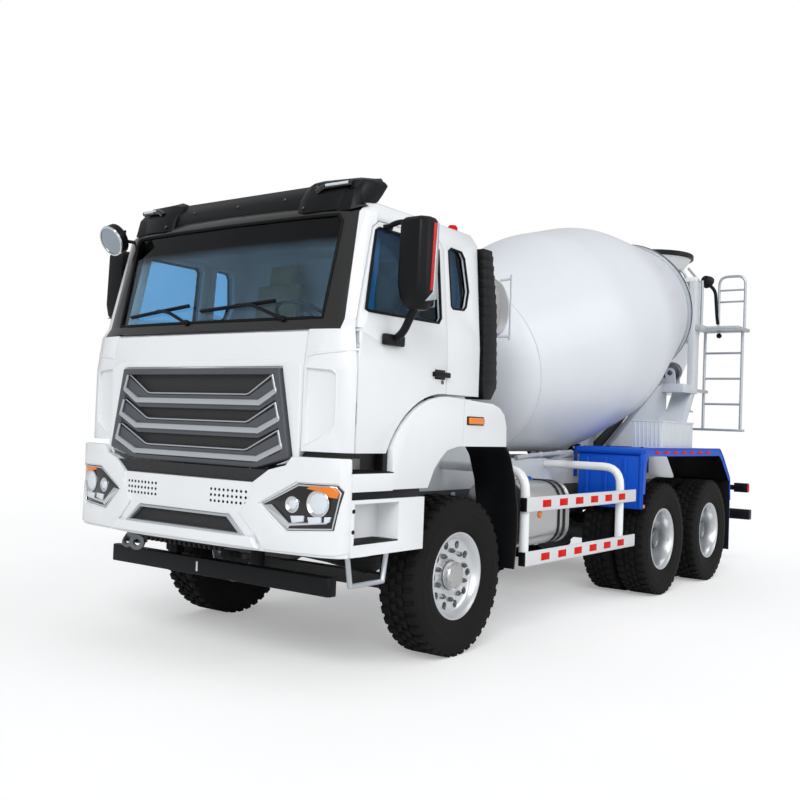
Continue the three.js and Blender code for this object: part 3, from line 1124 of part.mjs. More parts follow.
function roofVisor() {
  const slab = prism('x', [[-1100, 2862], [-1068, 2985], [-985, 3075], [-800, 3120], [-760, 3085],
    [-900, 3010], [-940, 2900]], -1010, 1010);
  const end = loft([
    [[1005, -1100, 2862], [1005, -1068, 2985], [1005, -985, 3075], [1005, -800, 3120],
    [1005, -760, 3085], [1005, -900, 3010], [1005, -940, 2900]],
    [[1125, -1010, 2905], [1125, -990, 2965], [1125, -950, 3010], [1125, -860, 3040],
    [1125, -850, 3020], [1125, -900, 2975], [1125, -920, 2925]],
  ]);
  const foot = block(560, 640, -860, -800, 2930, 3095);
  const mirrorArm = join(rod([-1060, -1000, 2940], [-1120, -1190, 2890], 13, 8),
    rod([-1120, -1184, 2895], [-1120, -1200, 2800], 13, 8));
  const mirrorHead = rod([-1120, -1180, 2850], [-1120, -1235, 2820], 112, 20);
  const whole = join(slab, bothSides(end), bothSides(foot), mirrorArm, mirrorHead);
  return cut(whole, cabBody(-SEAT_GAP - 0.4, -SEAT_GAP - 0.4));
}
place('roof_visor', roofVisor(), BLACK);

function intakeStack() {
  const ring = (x0, x1, y0, y1, z) => [[x0, y0, z], [x1, y0, z], [x1, y1, z], [x0, y1, z]];
  const duct = loft([ring(1040, 1195, 230, 330, 1765), ring(1000, 1200, 205, 395, 1850),
    ring(1000, 1190, 205, 380, 2400),
    ring(1000, 1165, 215, 330, 2835)]);
  const lug = (z) => block(1040, 1120, CAB_REAR_Y - 30, 240, z, z + 50);
  return cut(join(duct, lug(1950), lug(2650)), cabBody(-SEAT_GAP, -SEAT_GAP));
}
place('intake_stack', intakeStack(), BLACK);

// ---------------------------------------------------------------- inside the cab

const FLOOR_Z = ARCH_Z + ARCH_R + CAB_WALL;

function dashboard() {
  const frontY = -1336 - 16 + FIREWALL + SEAT_GAP;
  const top = prism('x', [[frontY + 14, 1800], [frontY + 14, 2140], [-1130, 2165], [-930, 2120],
    [-905, 2020], [-960, 1860], [-1080, 1800]], -1015, 1015);
  const column = rod([500, -1000, 2010], [500, -890, 2215], 36, 8);
  const wheelAxis = new THREE.Vector3(0, 0.45, 0.9).normalize();
  const wheelAt = [500, -885, 2230];
  const ring = arc(212, 0, 15, 0, 270, 3);
  const rim = turned(ring, wheelAxis, wheelAt, 20);
  const boss = turned([[0, -20], [75, -20], [75, 18], [0, 18]], wheelAxis, wheelAt, 12);
  const spoke = join(rod([290, -885, 2230], [710, -885, 2230], 11, 6));
  return cut(join(top, column, rim, boss, spoke), cabWallsGrown);
}
const cabWallsGrown = cut(cabBody(-5, -5), cabBody(CAB_WALL + SEAT_GAP, FIREWALL + SEAT_GAP, 55));
place('dashboard', dashboard(), DARK);

function cabSeat(x) {
  const base = block(x - 180, x + 180, -560, -190, FLOOR_Z + SEAT_GAP, 1990);
  const cushion = block(x - 250, x + 250, -625, -150, 1980, 2120);
  const back = prism('x', [[-200, 2100], [-60, 2100], [35, 2620], [-65, 2640]], x - 230, x + 230);
  const headrest = prism('x', [[-70, 2630], [30, 2610], [50, 2780], [-40, 2790]], x - 135, x + 135);
  return join(base, cushion, back, headrest);
}
place('driver_seat', cabSeat(540), BEIGE);
place('passenger_seat', cabSeat(-540), BEIGE);

const truck = new THREE.Group();
truck.add(vehicle);

export default truck;
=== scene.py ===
"""Concrete mixer truck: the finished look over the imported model.

The truck faces -Y with its left side towards +X. Places and sizes in this file are in millimetres from
the ground under the front axle, unless a name or comment says otherwise.
"""

import json
import math

import bpy
from mathutils import Matrix, Vector

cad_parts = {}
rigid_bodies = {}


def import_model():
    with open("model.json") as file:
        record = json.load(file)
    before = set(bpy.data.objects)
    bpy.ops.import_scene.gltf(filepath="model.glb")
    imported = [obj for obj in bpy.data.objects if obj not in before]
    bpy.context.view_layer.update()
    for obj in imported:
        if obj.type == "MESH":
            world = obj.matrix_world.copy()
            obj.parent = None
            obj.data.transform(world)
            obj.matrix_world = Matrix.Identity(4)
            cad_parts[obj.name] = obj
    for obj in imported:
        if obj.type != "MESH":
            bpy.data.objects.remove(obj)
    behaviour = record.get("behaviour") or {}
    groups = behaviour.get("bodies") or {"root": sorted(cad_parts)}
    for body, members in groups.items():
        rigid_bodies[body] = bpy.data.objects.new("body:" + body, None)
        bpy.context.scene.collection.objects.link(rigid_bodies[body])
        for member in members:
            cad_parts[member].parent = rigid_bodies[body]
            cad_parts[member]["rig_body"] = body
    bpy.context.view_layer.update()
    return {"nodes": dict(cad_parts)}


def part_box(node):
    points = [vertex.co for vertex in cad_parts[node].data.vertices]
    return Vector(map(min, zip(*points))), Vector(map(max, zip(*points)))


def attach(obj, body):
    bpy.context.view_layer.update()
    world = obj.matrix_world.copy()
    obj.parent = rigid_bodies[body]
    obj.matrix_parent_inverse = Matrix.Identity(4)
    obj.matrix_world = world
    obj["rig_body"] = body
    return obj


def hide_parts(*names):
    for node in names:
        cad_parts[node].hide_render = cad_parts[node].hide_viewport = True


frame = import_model()

SIDES = (("left", 1), ("right", -1))
ALONG_X, UP = (1, 0, 0), (0, 0, 1)


def midway(node, axis):
    """The middle of a CAD node's box along an axis, in metres."""
    low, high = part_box(node)
    return (low[axis] + high[axis]) / 2


AXLE_Y = midway("front_rim_left", 1)
HUB_Z = midway("front_rim_left", 2) * 1000
MIDDLE_Y, REAR_Y = (midway(f"{end}_outer_wheel_left", 1) * 1000 - AXLE_Y * 1000 for end in ("middle", "rear"))


# ---------------------------------------------------------------- measuring

def at(x, y, z):
    """A place given in millimetres from the ground under the front axle."""
    return Vector((x / 1000, AXLE_Y + y / 1000, z / 1000))


def between(value, rows):
    """The row interpolated at a height, each row starting with its height."""
    if value <= rows[0][0]:
        return rows[0][1:]
    for low, high in zip(rows, rows[1:]):
        if value <= high[0]:
            share = (value - low[0]) / (high[0] - low[0])
            return tuple(a + share * (b - a) for a, b in zip(low[1:], high[1:]))
    return rows[-1][1:]


# The cab's height, half width and front face, from its sill to its roof.
CAB_LEVELS = (
    (1263, 1215, -1336), (1880, 1215, -1336), (2110, 1212, -1306), (2179, 1206, -1262), (2850, 1146, -1128),
    (2915, 1105, -1070), (2958, 1000, -960),
)


def nose_y(x, z):
    """How far ahead the cab's front skin lies at a width and height."""
    half, front = between(z, CAB_LEVELS)
    plan = ((0, -28), (520, -16), (half - 325, 4), (half - 150, 30), (half - 40, 72), (half, 125))
    return front + between(abs(x), plan)[0]


def nose(x, z, out=0):
    """A place on the cab's front skin, moved forward."""
    return at(x, nose_y(x, z) - out, z)


def flank(y, z, side=1, out=0):
    """The cab's side skin at a length and height."""
    return at(side * (between(z, CAB_LEVELS)[0] + out), y, z)


def skin_depth(x, z):
    """How far inside the cab's side skin a place lies."""
    return between(z, CAB_LEVELS)[0] - abs(x)


BUMPER_MIDDLE = -1440
BUMPER_PLAN = (
    (0, BUMPER_MIDDLE), (330, BUMPER_MIDDLE), (520, -1430), (700, -1402), (1090, -1352), (1190, -1308),
    (1232, -1256),
)


def bumper_y(x):
    """How far ahead the bumper's face lies at a width."""
    return between(abs(x), BUMPER_PLAN)[0]


def on_bumper(x, z):
    """How far back the bumper's face lies from its middle."""
    return bumper_y(x) - BUMPER_MIDDLE


def divided(outline, most=120):
    """An outline with its long sides cut up, so that it can follow a curved skin."""
    points = []
    for a, b in zip(outline, outline[1:] + outline[:1]):
        count = max(1, math.ceil(math.dist(a, b) / most))
        points += [(a[0] + (b[0] - a[0]) * i / count, a[1] + (b[1] - a[1]) * i / count) for i in range(count)]
    return points


def curve_between(a, b, c, steps=8):
    """A smooth bend from the first place to the last, pulled towards the middle one."""
    return [tuple((1 - t) ** 2 * p + 2 * t * (1 - t) * q + t * t * r for p, q, r in zip(a, b, c))
            for t in (i / steps for i in range(steps + 1))]


def sideways(sign, outline):
    """An outline of (x, z) on one side of the truck."""
    return [(sign * x, z) for x, z in outline]


# ---------------------------------------------------------------- workshop

def deselect():
    """Leaves edit mode and selects nothing."""
    if bpy.context.object and bpy.context.object.mode != "OBJECT":
        bpy.ops.object.mode_set(mode="OBJECT")
    bpy.ops.object.select_all(action="DESELECT")


def only(piece):
    """Selects one piece and makes it the active one."""
    deselect()
    piece.select_set(True)
    bpy.context.view_layer.objects.active = piece


def edit(piece):
    """Opens a piece in edit mode with all of it selected."""
    only(piece)
    bpy.ops.object.mode_set(mode="EDIT")
    bpy.ops.mesh.select_all(action="SELECT")


def done():
    """Back to object mode."""
    bpy.ops.object.mode_set(mode="OBJECT")


def smooth(piece, angle=32):
    """Shades a piece smooth, but for the edges that are sharper than an angle."""
    only(piece)
    bpy.ops.object.shade_smooth_by_angle(angle=math.radians(angle), keep_sharp_edges=False)
    return piece


def soften(piece, edge, rounds=2, angle=35):
    """Rounds a piece's edges."""
    if edge:
        only(piece)
        bevel = piece.modifiers.new("edges", "BEVEL")
        bevel.width = edge / 1000
        bevel.segments = rounds
        bevel.limit_method = "ANGLE"
        bevel.angle_limit = math.radians(angle)
        bevel.use_clamp_overlap = True
        bpy.ops.object.modifier_apply(modifier=bevel.name)
    return smooth(piece, 40)


def ring_of(name, points, filled):
    """A primitive circle with its corners moved to the given places."""
    deselect()
    fill = "NGON" if filled else "NOTHING"
    bpy.ops.mesh.primitive_circle_add(vertices=len(points), radius=0.1, fill_type=fill)
    piece = bpy.context.object
    piece.name = name
    for vertex, place in zip(piece.data.vertices, points):
        vertex.co = place
    return piece


def plate(name, axis, outline, start, end, edge=2, rounds=2):
    """An outline pushed out along an axis: [y, z] along x, [x, z] along y, [x, y] along z."""
    order = "xyz".index(axis)
    spots = [at(*corner[:order], start, *corner[order:]) for corner in outline]
    piece = ring_of(name, spots, True)
    edit(piece)
    push = Vector([(end - start) / 1000 if letter == axis else 0 for letter in "xyz"])
    bpy.ops.mesh.extrude_region_move(TRANSFORM_OT_translate={"value": push})
    bpy.ops.mesh.select_all(action="SELECT")
    bpy.ops.mesh.normals_make_consistent(inside=False)
    done()
    return soften(piece, edge, rounds)


def block(name, x0, x1, y0, y1, z0, z1, edge=4, rounds=2):
    """A bar or slab between two corners, with its edges rounded."""
    return plate(name, "z", [(x0, y0), (x1, y0), (x1, y1), (x0, y1)], z0, z1, edge, rounds)


def turned(name, profile, origin, direction, steps=48, angle=32):
    """A closed profile of (radius, distance) turned about a line."""
    direction = Vector(direction).normalized()
    side = direction.orthogonal().normalized()
    piece = ring_of(name, [origin + direction * t / 1000 + side * r / 1000 for r, t in profile], False)
    edit(piece)
    bpy.ops.mesh.spin(steps=steps, angle=2 * math.pi, center=origin, axis=direction, use_auto_merge=True)
    bpy.ops.mesh.select_all(action="SELECT")
    bpy.ops.mesh.remove_doubles(threshold=0.00005)
    bpy.ops.mesh.dissolve_degenerate(threshold=0.00001)
    bpy.ops.mesh.delete_loose()
    bpy.ops.mesh.select_all(action="SELECT")
    bpy.ops.mesh.normals_make_consistent(inside=False)
    done()
    return smooth(piece, angle)


def around(piece, count, centre, axis, start=0.0):
    """Copies all of a piece evenly about a line, into the same mesh."""
    edit(piece)
    if start:
        bpy.ops.transform.rotate(value=start, orient_axis="X", center_override=centre)
    reach = 2 * math.pi * (count - 1) / count
    bpy.ops.mesh.spin(steps=count - 1, angle=reach, center=centre, axis=axis, dupli=True)
    done()
    return piece


def along(piece, count, step):
    """Copies all of a piece evenly along a line, into the same mesh."""
    only(piece)
    row = piece.modifiers.new("row", "ARRAY")
    row.count = count
    row.use_relative_offset = False
    row.use_constant_offset = True
    row.constant_offset_displace = Vector(step) / 1000
    bpy.ops.object.modifier_apply(modifier=row.name)
    return piece


def rounded(points, bend):
    """A line of places with its corners rounded."""
    if not bend:
        return [Vector(p) for p in points]
    path = [Vector(points[0])]
    for before, corner, after in zip(points, points[1:], points[2:]):
        first, last = Vector(before) - Vector(corner), Vector(after) - Vector(corner)
        reach = min(bend / 1000, first.length * 0.49, last.length * 0.49)
        a, b = Vector(corner) + first.normalized() * reach, Vector(corner) + last.normalized() * reach
        path += [a.lerp(Vector(corner), t).lerp(Vector(corner).lerp(b, t), t)
                 for t in (0, 0.17, 0.33, 0.5, 0.67, 0.83, 1)]
    return path + [Vector(points[-1])]


def tube(name, points, radius, bend=0, sides=2, closed=False):
    """A round bar along a line of places."""
    path = rounded(points, bend)
    deselect()
    bpy.ops.curve.primitive_nurbs_path_add()
    line = bpy.context.object
    line.name = name
    line.location = (0, 0, 0)
    line.data.splines.clear()
    run = line.data.splines.new("POLY")
    run.points.add(len(path) - 1)
    for point, place in zip(run.points, path):
        point.co = (*place, 1)
    run.use_cyclic_u = closed
    line.data.dimensions = "3D"
    line.data.bevel_depth = radius / 1000
    line.data.bevel_resolution = sides
    line.data.use_fill_caps = not closed
    bpy.ops.object.convert(target="MESH")
    piece = bpy.context.object
    edit(piece)
    bpy.ops.mesh.remove_doubles(threshold=0.00002)
    bpy.ops.mesh.normals_make_consistent(inside=False)
    done()
    return smooth(piece, 50)


def lofted(name, rings, edge=0, rounds=2):
    """Rings of places, skinned in order and closed at both ends."""
    piece = joined(name, *[ring_of("ring", ring, False) for ring in rings])
    edit(piece)
    bpy.ops.mesh.bridge_edge_loops()
    bpy.ops.mesh.select_all(action="SELECT")
    bpy.ops.mesh.fill_holes(sides=0)
    bpy.ops.mesh.select_all(action="SELECT")
    bpy.ops.mesh.normals_make_consistent(inside=False)
    done()
    return soften(piece, edge, rounds)


def joined(name, *pieces):
    """Several pieces as one mesh."""
    deselect()
    for piece in pieces:
        piece.select_set(True)
    bpy.context.view_layer.objects.active = pieces[0]
    if len(pieces) > 1:
        bpy.ops.object.join()
    pieces[0].name = name
    return pieces[0]


def wrapped(piece, cuts, depth):
    """A flat plate, cut into upright strips and laid against a curved front."""
    for x in cuts:
        edit(piece)
        bpy.ops.mesh.bisect(plane_co=(x / 1000, 0, 0), plane_no=(1, 0, 0))
        done()
    for vertex in piece.data.vertices:
        vertex.co.y += depth(vertex.co.x * 1000, vertex.co.z * 1000) / 1000
    return piece


def carve(piece, *cutters):
    """Takes the cutters out of a piece."""
    for cutter in cutters:
        only(piece)
        knife = piece.modifiers.new("carve", "BOOLEAN")
        knife.operation = "DIFFERENCE"
        knife.solver = "EXACT"
        knife.object = cutter
        bpy.ops.object.modifier_apply(modifier=knife.name)
        bpy.data.objects.remove(cutter)
    return piece


def copied(source, name):
    """A copy with its own mesh, that belongs to no body yet."""
    copy = source.copy()
    copy.data = source.data.copy()
    copy.name = name
    copy.parent = None
    bpy.context.scene.collection.objects.link(copy)
    for key in [key for key in copy.keys() if key.startswith("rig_")]:
        del copy[key]
    return copy


def twin(piece, name, shift=(0, 0, 0), flip=False):
    """A copy moved along or turned to the truck's other side."""
    copy = copied(piece, name)
    if flip:
        copy.data.transform(Matrix.Scale(-1, 4, (1, 0, 0)))
        copy.data.flip_normals()
    copy.data.transform(Matrix.Translation(Vector(shift) / 1000))
    return copy


def finished(node, name, edge=3, rounds=2, angle=35, cutters=()):
    """A CAD node's shape with its doubles merged, cut where it is recessed, and its edges rounded."""
    source = frame["nodes"][node]
    copy = copied(source, name)
    edit(copy)
    bpy.ops.mesh.remove_doubles(threshold=0.00003)
    bpy.ops.mesh.dissolve_limited(angle_limit=math.radians(1.5))
    done()
    bpy.ops.mesh.customdata_custom_splitnormals_clear()
    copy.data.materials.clear()
    carve(copy, *cutters)
    soften(copy, edge, rounds, angle)
    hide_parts(node)
    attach(copy, source["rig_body"])
    return copy


def fit(piece, body, material, replaces=()):
    """Gives a piece its finish and the body that it moves with."""
    if material is not None:
        piece.data.materials.clear()
        piece.data.materials.append(material)
    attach(piece, body)
    for node in replaces:
        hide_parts(node)
    return piece


def coat(piece, material, chosen):
    """Gives a second finish to the faces whose middle and normal are chosen, in truck millimetres."""
    piece.data.materials.append(material)
    index = len(piece.data.materials) - 1
    for face in piece.data.polygons:
        middle = face.center
        if chosen(middle.x * 1000, (middle.y - AXLE_Y) * 1000, middle.z * 1000, face.normal):
            face.material_index = index


# ---------------------------------------------------------------- finishes

def new_finish(name):
    """An empty finish with its nodes, links, shader and place on the piece."""
    material = bpy.data.materials.new(name)
    material.use_nodes = True
    nodes = material.node_tree.nodes
    shader = nodes["Principled BSDF"]
    place = nodes.new("ShaderNodeTexCoord")
    return material, nodes, material.node_tree.links, shader, place.outputs["Object"]


def speckle(nodes, links, place, scale, detail=4, stretch=(1, 1, 1)):
    """Noise over the piece, stretched along an axis."""
    mapping = nodes.new("ShaderNodeMapping")
    mapping.inputs["Scale"].default_value = stretch
    noise = nodes.new("ShaderNodeTexNoise")
    noise.inputs["Scale"].default_value = scale
    noise.inputs["Detail"].default_value = detail
    links.new(place, mapping.inputs["Vector"])
    links.new(mapping.outputs["Vector"], noise.inputs["Vector"])
    return noise.outputs["Fac"]


def ramp(nodes, links, source, low, high, start=0.35, end=0.65):
    """Two colours blended by a source."""
    blend = nodes.new("ShaderNodeValToRGB")
    blend.color_ramp.elements[0].position = start
    blend.color_ramp.elements[1].position = end
    blend.color_ramp.elements[0].color = (*low, 1)
    blend.color_ramp.elements[1].color = (*high, 1)
    links.new(source, blend.inputs["Fac"])
    return blend.outputs["Color"]


def spread(nodes, links, source, low, high):
    """A source from 0 to 1 as a number between two others."""
    scaled = nodes.new("ShaderNodeMapRange")
    scaled.inputs["To Min"].default_value = low
    scaled.inputs["To Max"].default_value = high
    links.new(source, scaled.inputs["Value"])
    return scaled.outputs["Result"]


def emboss(nodes, links, source, shader, strength, depth):
    """Raises the surface where a source is high."""
    bump = nodes.new("ShaderNodeBump")
    bump.inputs["Strength"].default_value = strength
    bump.inputs["Distance"].default_value = depth
    links.new(source, bump.inputs["Height"])
    links.new(bump.outputs["Normal"], shader.inputs["Normal"])


def sum_of(nodes, links, operation, *values):
    """A Math node over sockets and plain numbers."""
    node = nodes.new("ShaderNodeMath")
    node.operation = operation
    for socket, value in zip(node.inputs, values):
        if isinstance(value, (int, float)):
            socket.default_value = value
        else:
            links.new(value, socket)
    return node.outputs[0]


def masked(nodes, links, mask, tone, colour):
    """A socket's colour, turned to a plain colour where the mask is 1."""
    mix = nodes.new("ShaderNodeMix")
    mix.data_type = "RGBA"
    links.new(mask, mix.inputs["Factor"])
    links.new(tone, mix.inputs["A"])
    mix.inputs["B"].default_value = (*colour, 1)
    return mix.outputs["Result"]


def bands(nodes, links, place, direction, scale, distortion=0.0):
    """Even stripes over the piece."""
    wave = nodes.new("ShaderNodeTexWave")
    wave.bands_direction = direction
    wave.inputs["Scale"].default_value = scale
    wave.inputs["Distortion"].default_value = distortion
    links.new(place, wave.inputs["Vector"])
    return wave.outputs["Fac"]


def linear(colour):
    """A colour as it is seen, as the light values that shaders use."""
    return tuple(c / 12.92 if c <= 0.04045 else ((c + 0.055) / 1.055) ** 2.4 for c in colour)


def surface(name, colour, rough, metal=0.0, vary=0.04, grain=60, bump=0.0, depth=0.0005,
            stretch=(1, 1, 1), gloss=0.0, worn=None, shine=0.5):
    """A finish whose colour and roughness drift a little over the piece, with its own grain."""
    material, nodes, links, shader, place = new_finish(name)
    base = linear(colour)
    patches = speckle(nodes, links, place, 2.2, 5)
    darker, lighter = tuple(c * (1 - vary) for c in base), tuple(min(1, c * (1 + vary)) for c in base)
    tone = ramp(nodes, links, patches, darker, lighter)
    if worn:
        edge = nodes.new("ShaderNodeNewGeometry")
        sharp = ramp(nodes, links, edge.outputs["Pointiness"], (0, 0, 0), (1, 1, 1), 0.52, 0.58)
        tone = masked(nodes, links, sharp, tone, linear(worn))
    links.new(tone, shader.inputs["Base Color"])
    fine = speckle(nodes, links, place, grain, 6, stretch)
    drift = 0.02 if metal else 0.08
    roughness = spread(nodes, links, fine, max(0.02, rough - drift), rough + drift)
    links.new(roughness, shader.inputs["Roughness"])
    shader.inputs["Metallic"].default_value = metal
    shader.inputs["Specular IOR Level"].default_value = shine
    if gloss:
        shader.inputs["Coat Weight"].default_value = gloss
        shader.inputs["Coat Roughness"].default_value = 0.06
    if bump:
        emboss(nodes, links, fine, shader, bump, depth)
    return material


WHITE = surface("white_enamel", (0.93, 0.94, 0.95), 0.32, vary=0.012, grain=140, bump=0.03, gloss=0.5)
GREY = surface("light_grey_enamel", (0.8, 0.82, 0.84), 0.38,
               vary=0.02, grain=120, bump=0.05, gloss=0.25)
DARK = surface("chassis_enamel", (0.17, 0.175, 0.18), 0.5,
               vary=0.2, grain=90, bump=0.15, worn=(0.3, 0.3, 0.3))
BLUE = surface("blue_enamel", (0.0, 0.31, 0.76), 0.4, vary=0.04, grain=120, bump=0.03, shine=0.3)
BLACK = surface("moulded_black", (0.055, 0.06, 0.075), 0.4,
                vary=0.1, grain=900, bump=0.15, depth=0.0003, shine=0.22)
GLOSS_BLACK = surface("polished_black", (0.035, 0.035, 0.04), 0.16, vary=0.1, grain=200, gloss=0.6)
GRAPHITE = surface("graphite_plastic", (0.31, 0.32, 0.345), 0.45,
                   vary=0.06, grain=900, bump=0.2, depth=0.0003)
SILVER = surface("silver_enamel", (0.76, 0.78, 0.8), 0.35, 0.65, vary=0.03, grain=220, bump=0.05)
BRIGHT = surface("bright_silver", (0.88, 0.89, 0.9), 0.34, 0.25, vary=0.02, grain=220, bump=0.04)
CHROME = surface("bright_chrome", (0.9, 0.91, 0.92), 0.13, 1.0, vary=0.02, grain=80)
ALLOY = surface("polished_alloy", (0.88, 0.89, 0.9), 0.3, 0.9, vary=0.02, grain=40, bump=0.02)
BRUSHED = surface("brushed_aluminium", (0.8, 0.8, 0.8), 0.3, 1.0,
                  vary=0.02, grain=50, bump=0.015, stretch=(1, 0.05, 1))
DRUM_WHITE = surface("drum_enamel", (0.87, 0.885, 0.91), 0.4,
                     vary=0.012, grain=40, bump=0.03, gloss=0.2)
STAINLESS = surface("stainless_sheet", (0.82, 0.82, 0.82), 0.26, 1.0,
                    vary=0.02, grain=24, bump=0.01, stretch=(0.06, 1, 1))
STEEL = surface("ground_steel", (0.46, 0.47, 0.48), 0.36, 1.0, vary=0.15, grain=60, bump=0.1)
RUBBER = surface("tyre_rubber", (0.09, 0.09, 0.092), 0.75,
                 vary=0.16, grain=260, bump=0.35, depth=0.0006, shine=0.15)
HOSE = surface("seal_rubber", (0.05, 0.05, 0.052), 0.6, vary=0.1, grain=300, bump=0.15, shine=0.2)
RED_LENS = surface("red_lens", (0.84, 0.01, 0.0), 0.5, vary=0.05, grain=400, bump=0.1, shine=0.15)
AMBER_LENS = surface("amber_lens", (0.93, 0.5, 0.08), 0.2, vary=0.05, grain=400, bump=0.3, gloss=0.6)
CLEAR_LENS = surface("clear_lens", (0.86, 0.89, 0.92), 0.14, vary=0.05, grain=300, bump=0.3, gloss=0.8)
RED_PAINT = surface("red_enamel", (0.78, 0.03, 0.04), 0.4, vary=0.05, grain=150, bump=0.05, gloss=0.3)


def repainted(source, name):
    """A copy of a finish, with its colour and the axes of its place."""
    material = source.copy()
    material.name = name
    nodes, links = material.node_tree.nodes, material.node_tree.links
    shader = nodes["Principled BSDF"]
    place = next(node for node in nodes if node.type == "TEX_COORD").outputs["Object"]
    split = nodes.new("ShaderNodeSeparateXYZ")
    links.new(place, split.inputs["Vector"])
    return material, nodes, links, shader, shader.inputs["Base Color"].links[0].from_socket, split.outputs


def cab_enamel():
    """White, with the pillars and the band round the windscreen in black."""
    material, nodes, links, shader, tone, axes = repainted(WHITE, "cab_enamel")

    def step(operation, *values):
        return sum_of(nodes, links, operation, *values)

    sill, brow, foot_of_pillar = 2.114, 2.93, 2.184
    rake, narrowing = 150 / 576, 0.054
    lean = step("MULTIPLY", step("SUBTRACT", axes["Z"], foot_of_pillar), rake)
    ahead = step("LESS_THAN", step("SUBTRACT", axes["Y"], lean), AXLE_Y - 1.19)
    width = step("ADD", step("ABSOLUTE", axes["X"]), step("MULTIPLY", axes["Z"], narrowing))
    inner = step("LESS_THAN", width, 1.217)
    above, below = step("GREATER_THAN", axes["Z"], sill), step("LESS_THAN", axes["Z"], brow)
    mask = step("MULTIPLY", step("MULTIPLY", ahead, inner), step("MULTIPLY", above, below))
    links.new(masked(nodes, links, mask, tone, linear((0.05, 0.05, 0.055))), shader.inputs["Base Color"])
    return material


CAB_ENAMEL = cab_enamel()


def glass(name, colour, rough=0.03):
    """Clear glass with a tint and a faint haze."""
    material, nodes, links, shader, place = new_finish(name)
    base = linear(colour)
    haze = speckle(nodes, links, place, 3, 3)
    links.new(ramp(nodes, links, haze, tuple(c * 0.97 for c in base), base), shader.inputs["Base Color"])
    links.new(spread(nodes, links, haze, rough * 0.5, rough), shader.inputs["Roughness"])
    shader.inputs["Transmission Weight"].default_value = 1.0
    shader.inputs["IOR"].default_value = 1.3
    return material


TINTED = glass("tinted_glass", (0.8, 0.91, 0.98))


def screen_glass():
    """Tinted glass, darkened along its top edge by a painted shadow of the visor."""
    material, nodes, links, shader, tone, axes = repainted(TINTED, "screen_glass")
    # Painted shadow: above 2.63 m the glass fades to near black, where the visor's shade falls on it.
    fade = nodes.new("ShaderNodeMapRange")
    fade.inputs["From Min"].default_value = 2.63
    fade.inputs["From Max"].default_value = 2.7
    links.new(axes["Z"], fade.inputs["Value"])
    visor_shadow = masked(nodes, links, fade.outputs["Result"], tone, (0.02, 0.022, 0.025))
    links.new(visor_shadow, shader.inputs["Base Color"])
    return material


SCREEN_GLASS = screen_glass()
SIDE_GLASS = glass("side_glass", (0.46, 0.68, 0.84))
MIRROR = surface("mirror_glass", (0.66, 0.7, 0.74), 0.05, 1.0, vary=0.01, grain=20)


def woven(name, colour, size, gap=(0.012, 0.012, 0.013)):
    """A punched or woven screen: crossed bands that stand up from dark gaps."""
    material, nodes, links, shader, place = new_finish(name)
    wires = [bands(nodes, links, place, direction, size) for direction in ("X", "Z")]
    top = sum_of(nodes, links, "MAXIMUM", *wires)
    links.new(ramp(nodes, links, top, gap, linear(colour), 0.55, 0.8), shader.inputs["Base Color"])
    links.new(spread(nodes, links, top, 0.7, 0.4), shader.inputs["Roughness"])
    emboss(nodes, links, top, shader, 0.6, 0.003)
    return material


MESH = woven("black_screen", (0.16, 0.165, 0.17), 30)


def cloth(name, colour):
    """A fine weave with soft drifts of colour, for the seats."""
    material, nodes, links, shader, place = new_finish(name)
    base = linear(colour)
    drift = speckle(nodes, links, place, 9, 5)
    threads = [bands(nodes, links, place, direction, 150, 1.5) for direction in ("X", "DIAGONAL")]
    weave = sum_of(nodes, links, "MULTIPLY", *threads)
    links.new(ramp(nodes, links, drift, tuple(c * 0.86 for c in base), base), shader.inputs["Base Color"])
    links.new(spread(nodes, links, drift, 0.75, 0.95), shader.inputs["Roughness"])
    shader.inputs["Sheen Weight"].default_value = 0.25
    emboss(nodes, links, weave, shader, 0.4, 0.0008)
    return material


SEAT_CLOTH = cloth("beige_weave", (0.78, 0.73, 0.64))


# ---------------------------------------------------------------- wheels

LUGS = 40
TYRE_TOP = 545
FRONT_TRACK, OUTER_TRACK, INNER_TRACK = 1050, 1100, 760
TYRE_SECTION = [
    (290, -112), (302, -127), (325, -138), (360, -147), (400, -150), (436, -151), (441, -153), (446, -151),
    (480, -150), (508, -146), (524, -137), (531, -122), (531, -58), (525, -54), (525, -50), (531, -46),
    (531, -3), (525, 0), (531, 3), (531, 46), (525, 50), (525, 54), (531, 58), (531, 122), (524, 137),
    (508, 146), (480, 150), (446, 151), (441, 153), (436, 151), (400, 150), (360, 147), (325, 138),
    (302, 127), (290, 112),
]
FRONT_RIM_SECTION = [
    (287, -114), (300, -116), (300, -127), (296, -129), (288, -129), (272, -116), (267, 30), (150, 44),
    (102, 44), (102, 64), (108, 68), (190, 70), (226, 70), (246, 76), (258, 88), (266, 108), (276, 118),
    (289, 129), (297, 129), (300, 126), (300, 116), (287, 114),
]
DISH_SECTION = [
    (287, -114), (300, -116), (300, -129), (290, -129), (284, -150), (268, -169), (143, -169), (143, -156),
    (210, -155), (236, -148), (250, -132), (256, -100), (262, 0), (264, 96), (274, 114), (289, 129),
    (297, 129), (300, 126), (300, 116), (287, 114),
]


def tread_row(x0, x1, centre, turn, slant):
    """One tread block on top of the tyre, copied all round it."""
    top = centre.z * 1000 + TYRE_TOP
    y = (centre.y - AXLE_Y) * 1000
    section = [(y - 29, top - 22), (y + 29, top - 22), (y + 25, top), (y - 25, top)]
    lug = plate("lug", "x", section, x0, x1, 3, 1)
    for vertex in lug.data.vertices:
        vertex.co.y += (vertex.co.x * 1000 - (x0 + x1) / 2) * slant / 1000
    return around(lug, LUGS, centre, ALONG_X, turn)


